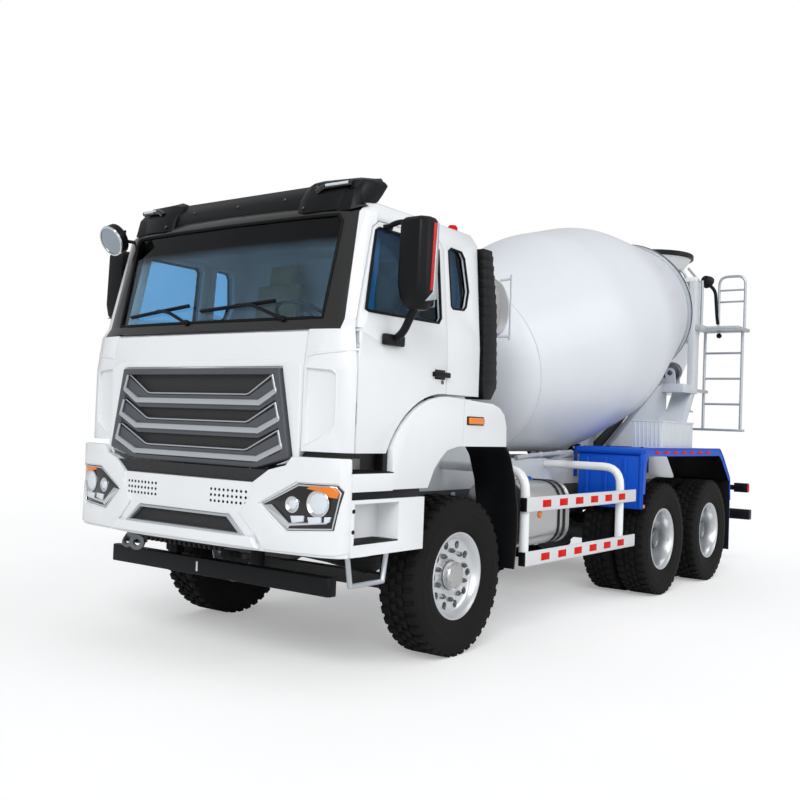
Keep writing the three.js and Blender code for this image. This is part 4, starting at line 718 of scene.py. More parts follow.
def tyre(name, x, y):
    """A tyre with four rows of tread blocks, each row half a step on from the one beside it."""
    centre = at(x, y, HUB_Z)
    half = math.pi / LUGS
    body = turned(name, TYRE_SECTION, centre, ALONG_X, 72)
    rows = [tread_row(x + near, x + far, centre, turn, slant) for near, far, turn, slant in
            ((60, 136, 0, 0.15), (-136, -60, half, -0.15), (6, 48, half, -0.35), (-48, -6, 0, 0.35))]
    return joined(name, body, *rows)


def nuts(name, x, y, ring, height):
    """Ten hexagon nuts on their studs round a hub."""
    across = 18
    centre = at(x, y, HUB_Z)
    place = centre + Vector((0, 0, ring / 1000))
    flats = [(0, 0), (across, 0), (across, height - 3), (across - 4, height), (0, height)]
    nut = turned("nut", flats, place, ALONG_X, 6, 20)
    end = height + 12
    thread = [(0, 0), (across * 0.5, 0), (across * 0.5, end - 3), (across * 0.4, end), (0, end)]
    stud = turned("stud", thread, place, ALONG_X, 12)
    return around(joined(name, nut, stud), 10, centre, ALONG_X)


def cap_bolts(centre, out, ring, height, count):
    """Small hexagon bolts round a hub's cap."""
    place = centre + Vector((out, 0, ring))
    bolt = turned("bolt", [(0, 0), (7, 0), (7, height), (0, height + 2)], place, ALONG_X, 6, 20)
    return around(bolt, count, centre, ALONG_X)


def pierced(name, section, x, y, ring, radius, depth):
    """A wheel disc with ten hand holes."""
    centre = at(x, y, HUB_Z)
    rim = turned(name, section, centre, ALONG_X, 72)
    hole = turned("hole", [(0, depth[0]), (radius, depth[0]), (radius, depth[1]), (0, depth[1])],
                  centre + Vector((0, 0, ring / 1000)), ALONG_X, 24)
    carve(rim, around(hole, 10, centre, ALONG_X, math.pi / 10))
    return soften(rim, 3, 2, 50)


def front_wheel():
    """The left steered wheel: tyre, alloy disc, nuts and hub cap."""
    x, y = FRONT_TRACK, 0
    centre = at(x, y, HUB_Z)
    rubber = tyre("front_tyre_left_rubber", x, y)
    rim = pierced("front_rim_left_alloy", FRONT_RIM_SECTION, x, y, 214, 27, (20, 100))
    ring = nuts("front_nuts_left", x + 68, y, 167, 22)
    crown = [(0, 60), (97, 60), (98, 72), (94, 76), (94, 106), (86, 117), (60, 123), (0, 124)]
    cap = turned("cap", crown, centre, ALONG_X, 48)
    back = turned("hub", [(67, -60), (139, -60), (139, 46), (67, 60)], centre, ALONG_X, 36)
    hub = joined("front_hub_left", cap, back, cap_bolts(centre, 0.116, 0.078, 7, 6))
    return [(rubber, RUBBER, "tyre_rubber"), (rim, ALLOY, "alloy"), (ring, STEEL, "bare_steel"),
            (hub, BRUSHED, "alloy")]


def twin_wheels(end, y):
    """The left outer and inner wheels of a driven axle, and the nodes that they stand for."""
    centre, far = at(OUTER_TRACK, y, HUB_Z), at(INNER_TRACK, y, HUB_Z)
    rubber = tyre(f"{end}_outer_tyre_left", OUTER_TRACK, y)
    rim = pierced(f"{end}_outer_rim_left", DISH_SECTION, OUTER_TRACK, y, 208, 28, (-200, -140))
    ring = nuts(f"{end}_nuts_left", OUTER_TRACK - 156, y, 168, 24)
    hub_section = [
        (0, 60), (70, 60), (82, 54), (84, 40), (104, 36), (105, 28), (105, -140), (140, -152), (140, -360),
        (67, -360), (67, 20), (0, 20),
    ]
    drum = turned("drum", hub_section, centre, ALONG_X, 48)
    hub = joined(f"{end}_hub_left", drum, cap_bolts(centre, 0.036, 0.094, 12, 12))
    inner_rim = turned(f"{end}_inner_rim_left", [(r, -t) for r, t in DISH_SECTION], far, ALONG_X, 60)
    inner_rubber = twin(rubber, f"{end}_inner_tyre_left", (INNER_TRACK - OUTER_TRACK, 0, 0))
    outer = [(rubber, RUBBER, "tyre_rubber"), (rim, ALLOY, "silver_paint"), (ring, STEEL, "bare_steel"),
             (hub, STEEL, "bare_steel")]
    inner = [(inner_rubber, RUBBER, "tyre_rubber"), (inner_rim, SILVER, "silver_paint")]
    return (outer, f"{end}_outer_wheel"), (inner, f"{end}_inner_wheel")


def fit_wheel(pieces, body, nodes):
    """Both sides' wheels from the left one's pieces, whose first ones stand for the nodes."""
    for side, _ in SIDES:
        for i, (piece, material, slot) in enumerate(pieces):
            if side == "right":
                piece = twin(piece, piece.name.replace("left", "right"), flip=True)
            stands_for = [f"{nodes[i]}_{side}"] if i < len(nodes) else ()
            fit(piece, f"{body}_{side}", material, stands_for)


fit_wheel(front_wheel(), "front_wheel", ("front_tyre", "front_rim"))
for end, y in (("middle", MIDDLE_Y), ("rear", REAR_Y)):
    for pieces, node in twin_wheels(end, y):
        fit_wheel(pieces, f"{end}_wheels", (node,))


# ---------------------------------------------------------------- cab

WINDSCREEN = [(-948, 2186), (-966, 2796), (-930, 2838), (930, 2838), (966, 2796), (948, 2186)]
DOOR_WINDOW = [
    (-1140, 2245), (-1020, 2735), (-985, 2755), (-375, 2755), (-345, 2725), (-345, 2275), (-375, 2240),
    (-1120, 2232),
]
QUARTER_WINDOW = [
    (-215, 2370), (-225, 2740), (-190, 2765), (-60, 2760), (-25, 2720), (10, 2500), (-30, 2385), (-60, 2362),
    (-195, 2355),
]
CORNER_RECESS = ((912, 1880), (1085, 1868), (1108, 1845), (1112, 1560), (1090, 1510), (912, 1420))
CORNER_CREASE = ((905, 1952), (960, 1964), (1040, 1972), (1110, 1980), (1160, 1986), (1206, 1992))
CORNER_RIM = (
    (912, 1884), (1000, 1878), (1088, 1871), (1112, 1846), (1116, 1700), (1116, 1558), (1092, 1506),
    (1000, 1460), (912, 1416),
)


def corner_recess(sign):
    """A shallow moulded hollow in the cab's front corner, beside the flap."""
    depths = [(x, z, nose(x, z).y) for x, z in CORNER_RECESS]
    back = ring_of("recess", [Vector((sign * x / 1000, y + 0.016, z / 1000)) for x, z, y in depths], True)
    edit(back)
    bpy.ops.mesh.extrude_region_move(TRANSFORM_OT_translate={"value": (0, -0.15, 0)})
    bpy.ops.mesh.select_all(action="SELECT")
    bpy.ops.mesh.normals_make_consistent(inside=False)
    done()
    return back


PANE_DEPTH = (14, 45)  # how far inside the cab's skin the faces of its side windows lie


def in_pane(x, z, normal):
    """Whether a face belongs to a side window's glass."""
    return abs(normal.x) > 0.8 and PANE_DEPTH[0] < skin_depth(x, z) < PANE_DEPTH[1]


def cab_shell():
    """The cab's panels, with the windscreen, the quarter windows' glass and the moulded corners."""
    opening = plate("opening", "y", WINDSCREEN, -1400, -960, 0)
    shell = finished("cab_shell", "cab_body", 3, cutters=(corner_recess(1), corner_recess(-1), opening))
    shell.data.materials.append(CAB_ENAMEL)
    coat(shell, SIDE_GLASS, lambda x, y, z, n: -240 < y < 20 and 2345 < z < 2775 and in_pane(x, z, n))

    wider, taller, middle = 1.008, 6, 2500
    pane = [(x * wider, z + (-taller if z < middle else taller)) for x, z in WINDSCREEN]
    screen = wrapped(plate("windscreen_glass", "y", pane, 10, 16, 0), range(-900, 901, 100), nose_y)
    fit(screen, "cab", SCREEN_GLASS, ["windscreen"])
    seal = tube("windscreen_seal", [nose(x, z, -3) for x, z in divided(WINDSCREEN)], 11, closed=True)
    fit(seal, "cab", HOSE)

    for side, sign in SIDES:
        crease = tube(f"corner_crease_{side}", [nose(sign * x, z, -2) for x, z in CORNER_CREASE], 10)
        fit(crease, "cab", WHITE)
        rim = tube(f"corner_rim_{side}", [nose(sign * x, z, -2) for x, z in CORNER_RIM], 6, 12)
        fit(rim, "cab", WHITE)
        quarter = [flank(y, z, sign, -3) for y, z in divided(QUARTER_WINDOW, 60)]
        fit(tube(f"quarter_seal_{side}", quarter, 9, closed=True), "cab", HOSE)


cab_shell()


def wiper(name, pivot, elbow, heel, tip):
    """A wiper on its spindle: a bent arm, and a blade as long again past its heel."""
    base = [(0, -20), (20, -20), (20, 16), (14, 24), (0, 26)]
    spindle = turned("spindle", base, nose(*pivot), (0, -1, 0.2), 24)
    arm = tube("arm", [nose(*pivot, 18), nose(*elbow, 30), nose(*heel, 26)], 12, 60)
    count = 8
    run = [(tip[0] + 2 * (heel[0] - tip[0]) * i / count, tip[1] + 2 * (heel[1] - tip[1]) * i / count)
           for i in range(count + 1)]
    spine = tube("spine", [nose(x, z, 18) for x, z in run], 9)
    blade = tube("blade", [nose(x, z - 9, 6) for x, z in run], 6)
    return fit(joined(name, spindle, arm, spine, blade), "cab", BLACK)


wiper("wiper_right", (-206, 2186), (-400, 2270), (-510, 2278), (-815, 2250))
wiper("wiper_left", (655, 2186), (400, 2282), (250, 2284), (-75, 2262))

# Sections across the visor's end piece: its width, its lean inwards and its outline.
VISOR_SECTIONS = (
    (590, 0, ((-1118, 2866), (-1092, 2960), (-1030, 3052), (-975, 3082), (-930, 3060), (-960, 2960),
              (-1000, 2880))),
    (670, 0, ((-1136, 2864), (-1113, 2965), (-1048, 3072), (-960, 3108), (-880, 3090), (-930, 2960),
              (-990, 2880))),
    (930, 0.2, ((-1108, 2868), (-1084, 2970), (-1020, 3076), (-905, 3112), (-830, 3090), (-900, 2960),
                (-960, 2880))),
    (1050, 0.3, ((-1046, 2898), (-1026, 2982), (-976, 3064), (-880, 3094), (-835, 3074), (-880, 2975),
                 (-920, 2922))),
    (1104, 0.35, ((-972, 2926), (-956, 2985), (-924, 3044), (-868, 3064), (-835, 3050), (-860, 2990),
                  (-885, 2942))),
)
VISOR_BOLTS = (
    (-820, -1096, 3030), (-430, -1064, 2990), (0, -1064, 2990), (430, -1064, 2990), (720, -1082, 3035),
    (650, -1128, 2900), (-650, -1128, 2900), (300, -1094, 2885), (-300, -1094, 2885),
)


def visor():
    """The roof visor with its raised end pieces, lamps and bolts."""
    tips = [block("tip", sign * 1030, sign * 1200, -1130, -700, 2896, 3200, 0) for _, sign in SIDES]
    fit(finished("roof_visor", "sun_visor", 7, 3, cutters=tips), "cab", BLACK)
    for side, sign in SIDES:
        rings = [[at(sign * (x - lean * (3070 - z)), y, z) for y, z in ring]
                 for x, lean, ring in VISOR_SECTIONS]
        fit(lofted(f"visor_end_{side}", rings, 9, 3), "cab", BLACK)
        run = [at(sign * 730, -1088, 3000), at(sign * 780, -1086, 3030), at(sign * 985, -1052, 3040)]
        fit(tube(f"visor_slot_{side}", run, 19, 30), "cab", GLOSS_BLACK)
        lamp = tube(f"visor_lamp_{side}", [at(sign * 805, -1096, 3034), at(sign * 965, -1070, 3042)], 10)
        fit(lamp, "cab", CLEAR_LENS)
    head = [(0, -4), (12, -4), (12, 4), (8, 7), (0, 7)]
    bolts = [turned("bolt", head, at(*place), (0, -1, 0.35), 16) for place in VISOR_BOLTS]
    fit(joined("visor_bolts", *bolts), "cab", GLOSS_BLACK)


visor()


def roof_pieces():
    """The round mirror that looks down in front of the cab, and the beacon."""
    middle, facing = at(-1120, -1235, 2820), (0, -0.878, -0.479)
    face = turned("front_mirror_glass", [(0, -2), (97, -2), (97, 3), (60, 8), (0, 11)], middle, facing, 40)
    fit(face, "cab", MIRROR)
    rim = turned("front_mirror_rim", [(98, -9), (110, -9), (114, -2), (110, 7), (99, 7)], middle, facing, 40)
    fit(rim, "cab", CHROME)
    arm = [at(-1120, -1186, 2858), at(-1118, -1140, 2842), at(-1050, -1060, 2832)]
    fit(tube("front_mirror_arm", arm, 13, 30), "cab", BLACK)
    dome = [(0, 0), (46, 0), (46, 12), (36, 16), (35, 44), (26, 58), (0, 62)]
    fit(turned("roof_beacon", dome, at(960, 110, 2938), (0, 0, 1), 32), "cab", RED_LENS)


roof_pieces()


def intake_stack():
    """The ribbed air intake behind the cab."""
    fit(finished("intake_stack", "air_intake", 8, 3), "cab", BLACK)
    stack = ((1850, 1200, 205, 395), (2400, 1190, 205, 380), (2835, 1165, 215, 330))
    lowest, pitch, count = 1872, 68, 14
    ribs = []
    for z in range(lowest, lowest + count * pitch, pitch):
        x, y0, y1 = between(z, stack)
        ribs.append(block("rib", x - 60, x + 2, y0 - 2, y1, z, z + 40, 5))
    fit(joined("air_intake_ribs", *ribs), "cab", BLACK)


intake_stack()


# ---------------------------------------------------------------- doors and door mirrors

def mirror_ring(sign, z, low, high, front, rear):
    """One level of the mirror's housing, with its outer front corner cut off."""
    plan = ((low + 6, rear), (low, rear - 70), (low + 26, front), (high - 34, front), (high, front + 48),
            (high - 3, rear))
    return [at(sign * x, y, z) for x, y in plan]


def door_mirror(side, sign, body):
    """The tall mirror on its two arms, with its glass, its red stripe and its bright trim."""
    levels = ((2812, 1312, 1482, -962, -850), (2786, 1290, 1497, -990, -842), (2400, 1288, 1497, -1000, -842),
              (2318, 1300, 1490, -986, -846), (2252, 1335, 1455, -948, -856))
    housing = lofted("housing", [mirror_ring(sign, *level) for level in levels], 12, 3)
    foot = block("foot", sign * 1216, sign * 1252, -1008, -802, 2040, 2110, 14, 3)
    low_run = [at(sign * 1235, -900, 2078), at(sign * 1300, -902, 2120), at(sign * 1385, -905, 2270)]
    top_run = [at(sign * 1160, -915, 2772), at(sign * 1240, -910, 2800), at(sign * 1330, -905, 2790)]
    lower, upper = tube("lower", low_run, 25, 60, 4), tube("upper", top_run, 17, 60, 4)
    top_foot = block("top_foot", sign * 1122, sign * 1184, -948, -882, 2758, 2786, 8)
    arms = joined(f"mirror_housing_{side}", housing, foot, lower, upper, top_foot)
    fit(arms, body, BLACK, [f"mirror_{side}"])

    face = sideways(sign, ((1306, 2275), (1484, 2275), (1484, 2796), (1300, 2796)))
    fit(plate(f"mirror_glass_{side}", "y", face, -848, -838, 4), body, MIRROR)
    edge = [(-892, 2776), (-862, 2780), (-886, 2372), (-914, 2366)]
    stripe = plate(f"mirror_stripe_{side}", "x", edge, sign * 1490, sign * 1499, 2)
    fit(stripe, body, RED_PAINT)
    edge = [(-858, 2780), (-840, 2780), (-842, 2320), (-960, 2296), (-880, 2362)]
    trim = plate(f"mirror_trim_{side}", "x", edge, sign * 1489, sign * 1498, 3)
    fit(trim, body, SILVER)


def cab_door(side, sign):
    """A door with its glass, seal, lock and handle, and its mirror."""
    body = f"door_{side}"
    door = finished(body, f"door_panel_{side}", 3)
    fit(door, body, WHITE)
    coat(door, SIDE_GLASS, lambda x, y, z, n: z > 2230 and in_pane(x, z, n))
    coat(door, BLACK, lambda x, y, z, n: 1880 < z < 1920 and -450 < y < -300 and abs(x) > 1217)
    seal = [flank(y, z, sign, -2) for y, z in divided(DOOR_WINDOW)]
    fit(tube(f"door_seal_{side}", seal, 10, closed=True), body, HOSE)
    barrel = [(0, -8), (14, -8), (14, 4), (10, 7), (0, 7)]
    lock = turned(f"door_lock_{side}", barrel, flank(-330, 1852, sign), (sign, 0, 0), 24)
    fit(lock, body, STEEL)
    grip = block("grip", sign * 1217, sign * 1244, -446, -268, 1882, 1918, 9, 3)
    cup = block("cup", sign * 1211, sign * 1218, -420, -300, 1868, 1932, 3)
    fit(joined(f"door_handle_{side}", grip, cup), body, BLACK)
    door_mirror(side, sign, body)


for side, sign in SIDES:
    cab_door(side, sign)


# ---------------------------------------------------------------- nose of the cab

def front_flap():
    """The flap over the radiator, with the raised surround of its grille."""
    fit(finished("front_flap", "front_flap_panel", 4), "front_flap", WHITE)
    outside = [(-798, 1930), (798, 1930), (884, 1890), (890, 1330), (845, 1296), (-845, 1296), (-890, 1330),
               (-884, 1890)]
    inside = [(-742, 1886), (742, 1886), (848, 1345), (824, 1280), (-824, 1280), (-848, 1345)]
    surround = plate("surround", "y", outside, -1352, -1330, 0)
    carve(surround, plate("room", "y", inside, -1500, -1200, 0))
    wrapped(surround, (-860, -700, -520, -330, 330, 520, 700, 860), lambda x, z: nose_y(x, z) + 1336)
    surround.name = "grille_surround"
    fit(soften(surround, 9, 3, 40), "front_flap", WHITE)


front_flap()

WINGS = ((1665, 1740), (1494, 1571), (1322, 1405))  # the height of each bright bar's middle and of its tips


def grille_half(z):
    """Half the grille's width at a height: its sides spread downwards from its top corners."""
    top_half, top, spread_by, fall = 733, 1879, 105, 539
    return top_half + (top - z) * spread_by / fall


def grille_wing(flat, tip):
    """One grey band, its bright bar with upturned tips, and the bright line above it."""
    end = grille_half(tip) - 44
    upper = grille_half(tip + 85) - 52
    wide = [(-upper, tip + 85), (-475, flat + 42), (475, flat + 42), (upper, tip + 85), (end, tip - 50),
            (568, flat - 46), (-568, flat - 46), (-end, tip - 50)]
    slim = [(-end - 4, tip + 22), (-570, flat + 18), (570, flat + 18), (end + 4, tip + 22),
            (end + 8, tip - 12), (582, flat - 18), (-582, flat - 18), (-end - 8, tip - 12)]
    run = [at(-upper + 22, -1363, tip + 96), at(-470, -1364, flat + 50), at(470, -1364, flat + 50),
           at(upper - 22, -1363, tip + 96)]
    tips = [tube("tip", [at(sign * (end - 4), -1372, tip - 4), at(sign * (upper - 10), -1372, tip + 96)], 10)
            for _, sign in SIDES]
    band, bar = plate("band", "y", wide, -1362, -1336, 5, 2), plate("bar", "y", slim, -1379, -1352, 6, 3)
    return band, [bar, *tips], tube("line", run, 5, 26)


def grille():
    """The grille: a dark screen in a grey frame, with three winged bars."""
    outline = [(-731, 1877), (731, 1877), (836, 1341), (572, 1266), (-572, 1266), (-836, 1341)]
    inside = [(-682, 1838), (682, 1838), (768, 1372), (550, 1300), (-550, 1300), (-768, 1372)]
    screen = plate("grille_screen", "y", outline, -1338, -1312, 0)
    border = plate("border", "y", outline, -1376, -1314, 0)
    carve(border, plate("room", "y", inside, -1400, -1290, 0))
    soften(border, 8, 3)
    wide, bars, lines = zip(*[grille_wing(flat, tip) for flat, tip in WINGS])
    fit(screen, "front_flap", MESH, ["grille"])
    fit(joined("grille_frame", border, *wide), "front_flap", GRAPHITE)
    fit(joined("grille_bars", *sum(bars, [])), "front_flap", SILVER)
    fit(joined("grille_lines", *lines), "front_flap", SILVER)


grille()


# ---------------------------------------------------------------- bumper and headlamps

LAMP_OPENING = [(648, 1060), (918, 1205), (1186, 1205), (1214, 1163), (1172, 927), (843, 903)]
LAMP = [(661, 1059), (925, 1196), (1180, 1196), (1205, 1160), (1165, 936), (850, 912)]


def bumper_blade(sign):
    """The raised side of the bumper, round the headlamp, that follows the nose's plan."""
    outline = [
        (606, 1186), (719, 1266), (840, 1298), (880, 1350), (1226, 1350), (1230, 1180), (1228, 806),
        (1180, 792), (700, 790), (646, 862), (512, 992), (618, 1140),
    ]
    blade = plate("blade", "y", sideways(sign, outline), -1454, -1424, 0)
    carve(blade, plate("room", "y", sideways(sign, LAMP_OPENING), -1600, -1300, 0))
    wrapped(blade, [sign * x for x in (700, 900, 1090, 1140, 1190)], on_bumper)
    return soften(blade, 9, 3, 40)


def bumper():
    """The bumper with its raised sides, its two screens, its dots and the teeth below it."""
    fit(finished("front_bumper", "bumper_panel", 7, 3), "root", WHITE)
    lip = plate("lip", "y", [(-694, 792), (694, 792), (640, 860), (-640, 860)], -1466, -1424, 12, 3)
    fit(joined("bumper_face", bumper_blade(1), bumper_blade(-1), lip), "root", WHITE)
    notch = [(-640, 1180), (640, 1180), (740, 1262), (-740, 1262)]
    fit(plate("notch_screen", "y", notch, -1398, -1388, 1), "root", MESH)

    intake = [(-554, 857), (-420, 975), (420, 975), (554, 857)]
    inside = [(-515, 872), (-408, 960), (408, 960), (515, 872)]
    hoop = plate("intake_frame", "y", intake, -1445, -1405, 0)
    carve(hoop, plate("room", "y", inside, -1500, -1300, 0))
    fit(soften(hoop, 3), "root", SILVER)
    screen = plate("intake_screen", "y", [(x * 0.97, z) for x, z in intake], -1412, -1400, 1)
    fit(screen, "root", MESH)

    dots = []
    first, pitch = 262, 36
    for x in [sign * (first + column * pitch) for _, sign in SIDES for column in range(9)]:
        head = [(0, -3), (9, -3), (9, 1), (7, 2), (0, 2)]
        dot = turned("dot", head, at(x, bumper_y(x), 1050), (0, -1, 0), 12)
        dots.append(along(dot, 3, (0, 0, pitch)))
    fit(joined("bumper_dots", *dots), "root", BLACK)
    tooth = plate("tooth", "x", [(-1430, 776), (-1395, 776), (-1402, 742), (-1424, 742)], -360, -336, 3)
    strip = block("strip", -400, 400, -1432, -1392, 766, 780, 3)
    fit(joined("bumper_teeth", strip, along(tooth, 16, (46, 0, 0))), "root", BLACK)


bumper()


def on_lamp(sign, x, z, out):
    """A place in the headlamp, in front of its dark floor."""
    return at(sign * x, bumper_y(x) + 6 - out, z)


def lamp_plate(name, sign, outline, cuts=(), start=-1446):
    """A flat shape in the headlamp, that follows the bumper's plan."""
    flat = plate(name, "y", sideways(sign, outline), start, -1430, 0)
    return wrapped(flat, [sign * x for x in cuts], on_bumper)


def headlamp(side, sign):
    """A headlamp: dark body, bright rim and blade, two round lamps, three day lamps and an amber corner."""
    fit(finished(f"headlight_{side}", f"headlamp_body_{side}", 3), "root", GLOSS_BLACK)
    middle_x, middle_z = 950, 1055
    inset = [(x + (middle_x - x) * 0.05, z + (middle_z - z) * 0.07) for x, z in LAMP]
    rim = tube("rim", [on_lamp(sign, x, z, 2) for x, z in divided(inset, 60)], 6, closed=True)
    sweep = ((684, 1054), (744, 1062), (872, 962), (1130, 984), (1128, 972), (880, 944), (862, 928))
    blade = soften(lamp_plate("blade", sign, sweep, (800, 900, 1000)), 3)
    facing = Vector((sign * 0.127, -0.99, 0))
    eyes = []
    for x, z, r in ((885, 1069, 40), (1065, 1085, 70)):
        bowl = [(r, -10), (r + 9, -6), (r + 9, 6), (r + 3, 9), (r - 3, 4), (r - 12, -2), (r - 12, -10)]
        eyes.append(turned("eye", bowl, on_lamp(sign, x, z, 0), facing, 40))
        dome = [(0, -8), (r - 10, -8), (r - 10, 0), (r * 0.6, 7), (r * 0.3, 10), (0, 11)]
        lens = turned(f"headlamp_lens_{side}_{r}", dome, on_lamp(sign, x, z, 0), facing, 40)
        fit(lens, "root", CLEAR_LENS)
    fit(joined(f"headlamp_trim_{side}", rim, blade, *eyes), "root", CHROME)

    corner = ((985, 1168), (1010, 1184), (1166, 1184), (1188, 1158), (1178, 1122), (1136, 1126), (1090, 1156))
    amber = soften(lamp_plate(f"headlamp_amber_{side}", sign, corner, (1090,), -1447), 4)
    fit(amber, "root", AMBER_LENS)
    day = [((x, 1004), (x + 92, 1010), (x + 92, 975), (x + 12, 962)) for x in (880, 1000)]
    day.append(((1112, 1012), (1146, 1014), (1138, 982), (1110, 976)))
    low = [soften(lamp_plate("low", sign, outline), 4) for outline in day]
    fit(joined(f"headlamp_day_{side}", *low), "root", CLEAR_LENS)


for side, sign in SIDES:
    headlamp(side, sign)


def below_bumper():
    """The towing shackle and the underrun bar."""
    section = [(24, -14), (52, -14), (52, 14), (24, 14)]
    ring = turned("eye", section, at(-560, -1330, 700), (0.5, -0.86, 0), 32)
    run = [at(-700, -1300, 735), at(-690, -1345, 690), at(-640, -1355, 668), at(-600, -1335, 690)]
    bracket = block("bracket", -690, -560, -1320, -1240, 690, 790, 6)
    fit(joined("tow_shackle", ring, tube("hook", run, 15, 40, 4), bracket), "root", STEEL)
    fit(finished("front_underrun_bar", "underrun_bar", 8, 3), "root", BLACK)
    mark = block("underrun_mark", -132, -116, -1183, -1178, 540, 605, 1)
    fit(mark, "root", CLEAR_LENS)


below_bumper()


# ---------------------------------------------------------------- inside the cab

UPRIGHT = math.radians(82)


def pad(name, middle, half, crown, channels, lean=0.0):
    """A crowned cushion: thick in its middle, pulled in between its corners, with sewn channels."""
    deselect()
    bpy.ops.mesh.primitive_cube_add(size=2, location=(0, 0, 0))
    piece = bpy.context.object
    piece.name = name
    edit(piece)
    bpy.ops.mesh.subdivide(number_cuts=23)
    done()
    turn = Matrix.Rotation(lean, 3, "X")
    a, b, c = (h / 1000 for h in half)
    for vertex in piece.data.vertices:
        u, v, w = vertex.co
        full = (1 - abs(u) ** 3) * (1 - abs(v) ** 3)
        sewn = sum(math.exp(-((abs(u) - line) / 0.035) ** 2) for line in channels) if w > 0 else 0
        corner = 1 - 0.07 * (abs(w) ** 4) * (abs(u) ** 6 + abs(v) ** 6)
        across = u * a * corner * (1 - 0.03 * (1 - v * v) * abs(u))
        place = Vector((across, v * b * corner, w * c * (1 - crown + crown * full) - 0.011 * sewn))
        vertex.co = turn @ place + middle
    only(piece)
    soft = piece.modifiers.new("soft", "SUBSURF")
    soft.levels = soft.render_levels = 1
    bpy.ops.object.modifier_apply(modifier=soft.name)
    return smooth(piece, 180)


def cab_seat(name, x, node):
    """A seat on its moulded base: cushion, backrest and headrest."""
    cushion = pad(f"{name}_cushion", at(x, -388, 2052), (248, 236, 68), 0.3, (0.62,))
    back = pad(f"{name}_backrest", at(x, -76, 2368), (228, 262, 60), 0.35, (0.6,), UPRIGHT)
    rest = pad(f"{name}_headrest", at(x, -12, 2704), (132, 82, 44), 0.3, (), UPRIGHT)
    for piece, fill in ((cushion, 0.7), (back, 0.7), (rest, 0.8)):
        fit(piece, "cab", SEAT_CLOTH)
    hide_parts(node)
    base = block(f"{name}_seat_base", x - 178, x + 178, -558, -192, 1845, 1995, 24, 3)
    fit(base, "cab", BLACK)


fit(finished("dashboard", "dashboard_moulding", 6, 3), "cab", GRAPHITE)
cab_seat("driver", 540, "driver_seat")
cab_seat("passenger", -540, "passenger_seat")


# ---------------------------------------------------------------- drum, water tank and their frame

TILT = math.radians(14.7)
DRUM_AXIS = Vector((0, math.cos(TILT), math.sin(TILT)))
DRUM_ORIGIN = at(0, 1823, 2105)
RING_PLACE = DRUM_ORIGIN + DRUM_AXIS * 3719 / 1000
TANK_MIDDLE = at(0, 735, 2483)


def drum():
    """The drum's hollow skin with its dished head, roller ring, head flange and mouth rim."""
    skin = [(788 * math.sin(math.radians(d)), -320 * math.cos(math.radians(d))) for d in range(0, 81, 10)]
    skin += [(786, -8), (796, -4), (796, 5), (789, 9)]
    skin += curve_between((1066, 1086), (1112, 1262), (1112, 1440))
    skin += curve_between((1112, 2083), (1112, 2263), (1067, 2452))
    skin += [(764, 3719), (562, 4142), (560, 4150), (550, 4150), (750, 3719), (1096, 2263), (1096, 1262),
             (776, 0), (0, -300)]
    shell = turned("drum_shell", skin, DRUM_ORIGIN, DRUM_AXIS, 128, 25)
    fit(shell, "drum", DRUM_WHITE, ["drum"])
    section = [(745, -40), (795, -40), (799, -36), (799, 36), (795, 40), (745, 40)]
    fit(turned("drum_ring", section, RING_PLACE, DRUM_AXIS, 128), "drum", SILVER)
    section = [(790, 16), (802, 16), (803, 20), (803, 40), (802, 44), (770, 44)]
    fit(turned("drum_ring_band", section, RING_PLACE, DRUM_AXIS, 128), "drum", GLOSS_BLACK)
    section = [(0, -344), (128, -344), (130, -340), (130, -318), (112, -300), (112, -280), (0, -280)]
    fit(turned("drum_flange", section, DRUM_ORIGIN, DRUM_AXIS, 48), "drum", DARK)
    section = [(548, 4136), (566, 4136), (572, 4143), (566, 4150), (548, 4150)]
    fit(turned("drum_mouth_rim", section, DRUM_ORIGIN, DRUM_AXIS, 96), "drum", WHITE)


def drum_frame():
    """The frame under the drum, with its drive, rollers and side plates, and black plates painted as the
    shadow under the drum.
    """
    fit(finished("drum_drive", "drive_gearbox", 4), "root", DARK)
    fit(finished("mixer_frame", "mixer_subframe", 5), "root", GREY)
    for side, _ in SIDES:
        fit(finished(f"roller_{side}", f"support_roller_{side}", 5), f"roller_{side}", STEEL)
    outline = [(3900, 1302), (4560, 1302), (5690, 1860), (5700, 2100), (5560, 2172), (5450, 2150)]
    pedestal = [plate("pedestal", "x", outline, x, x + 84, 6) for x in (349, -433)]
    fit(joined("pedestal_plates", *pedestal), "root", GREY)
    # Painted shadow: thin black plates beside the pedestal plates, where the shade falls between the drum's
    # underside and the braces.
    outline = [(3905, 1306), (3905, 1468), (4500, 1740), (5000, 2000), (5330, 2170), (5440, 2140)]
    shadow_plates = [plate("shade", "x", outline, x, x + 14, 3) for x in (331, -345)]
    fit(joined("painted_drum_shadow", *shadow_plates), "root", BLACK)


def water_tank():
    """The domed water tank across the truck, with its two bands and its gauge tube."""
    dome = [(60, 1008), (130, 1000), (180, 984), (214, 962), (231, 936), (235, 905)]
    section = [(0, -1010), *[(r, -t) for r, t in dome], *dome[::-1], (0, 1010)]
    tank = turned("water_tank_shell", section, TANK_MIDDLE, ALONG_X, 72, 40)
    fit(tank, "root", STAINLESS, ["water_tank"])
    straps = [[(233, t - 30), (240, t - 30), (240, t + 30), (233, t + 30)] for t in (-390, 390)]
    straps = [turned("strap", section, TANK_MIDDLE, ALONG_X, 72) for section in straps]
    fit(joined("water_tank_bands", *straps), "root", STEEL)
    gauge = [tube("gauge", [at(1000, 735, 2690), at(1052, 790, 2706), at(1056, 800, 2712)], 8, 20),
             tube("gauge", [at(1056, 800, 2740), at(1056, 800, 2240)], 7),
             tube("gauge", [at(990, 735, 2262), at(1056, 800, 2266)], 8)]
    fit(joined("tank_gauge", *gauge), "root", SILVER)


drum()
drum_frame()
water_tank()


# ---------------------------------------------------------------- hopper, chute and ladder

HOPPER_Y = 6150


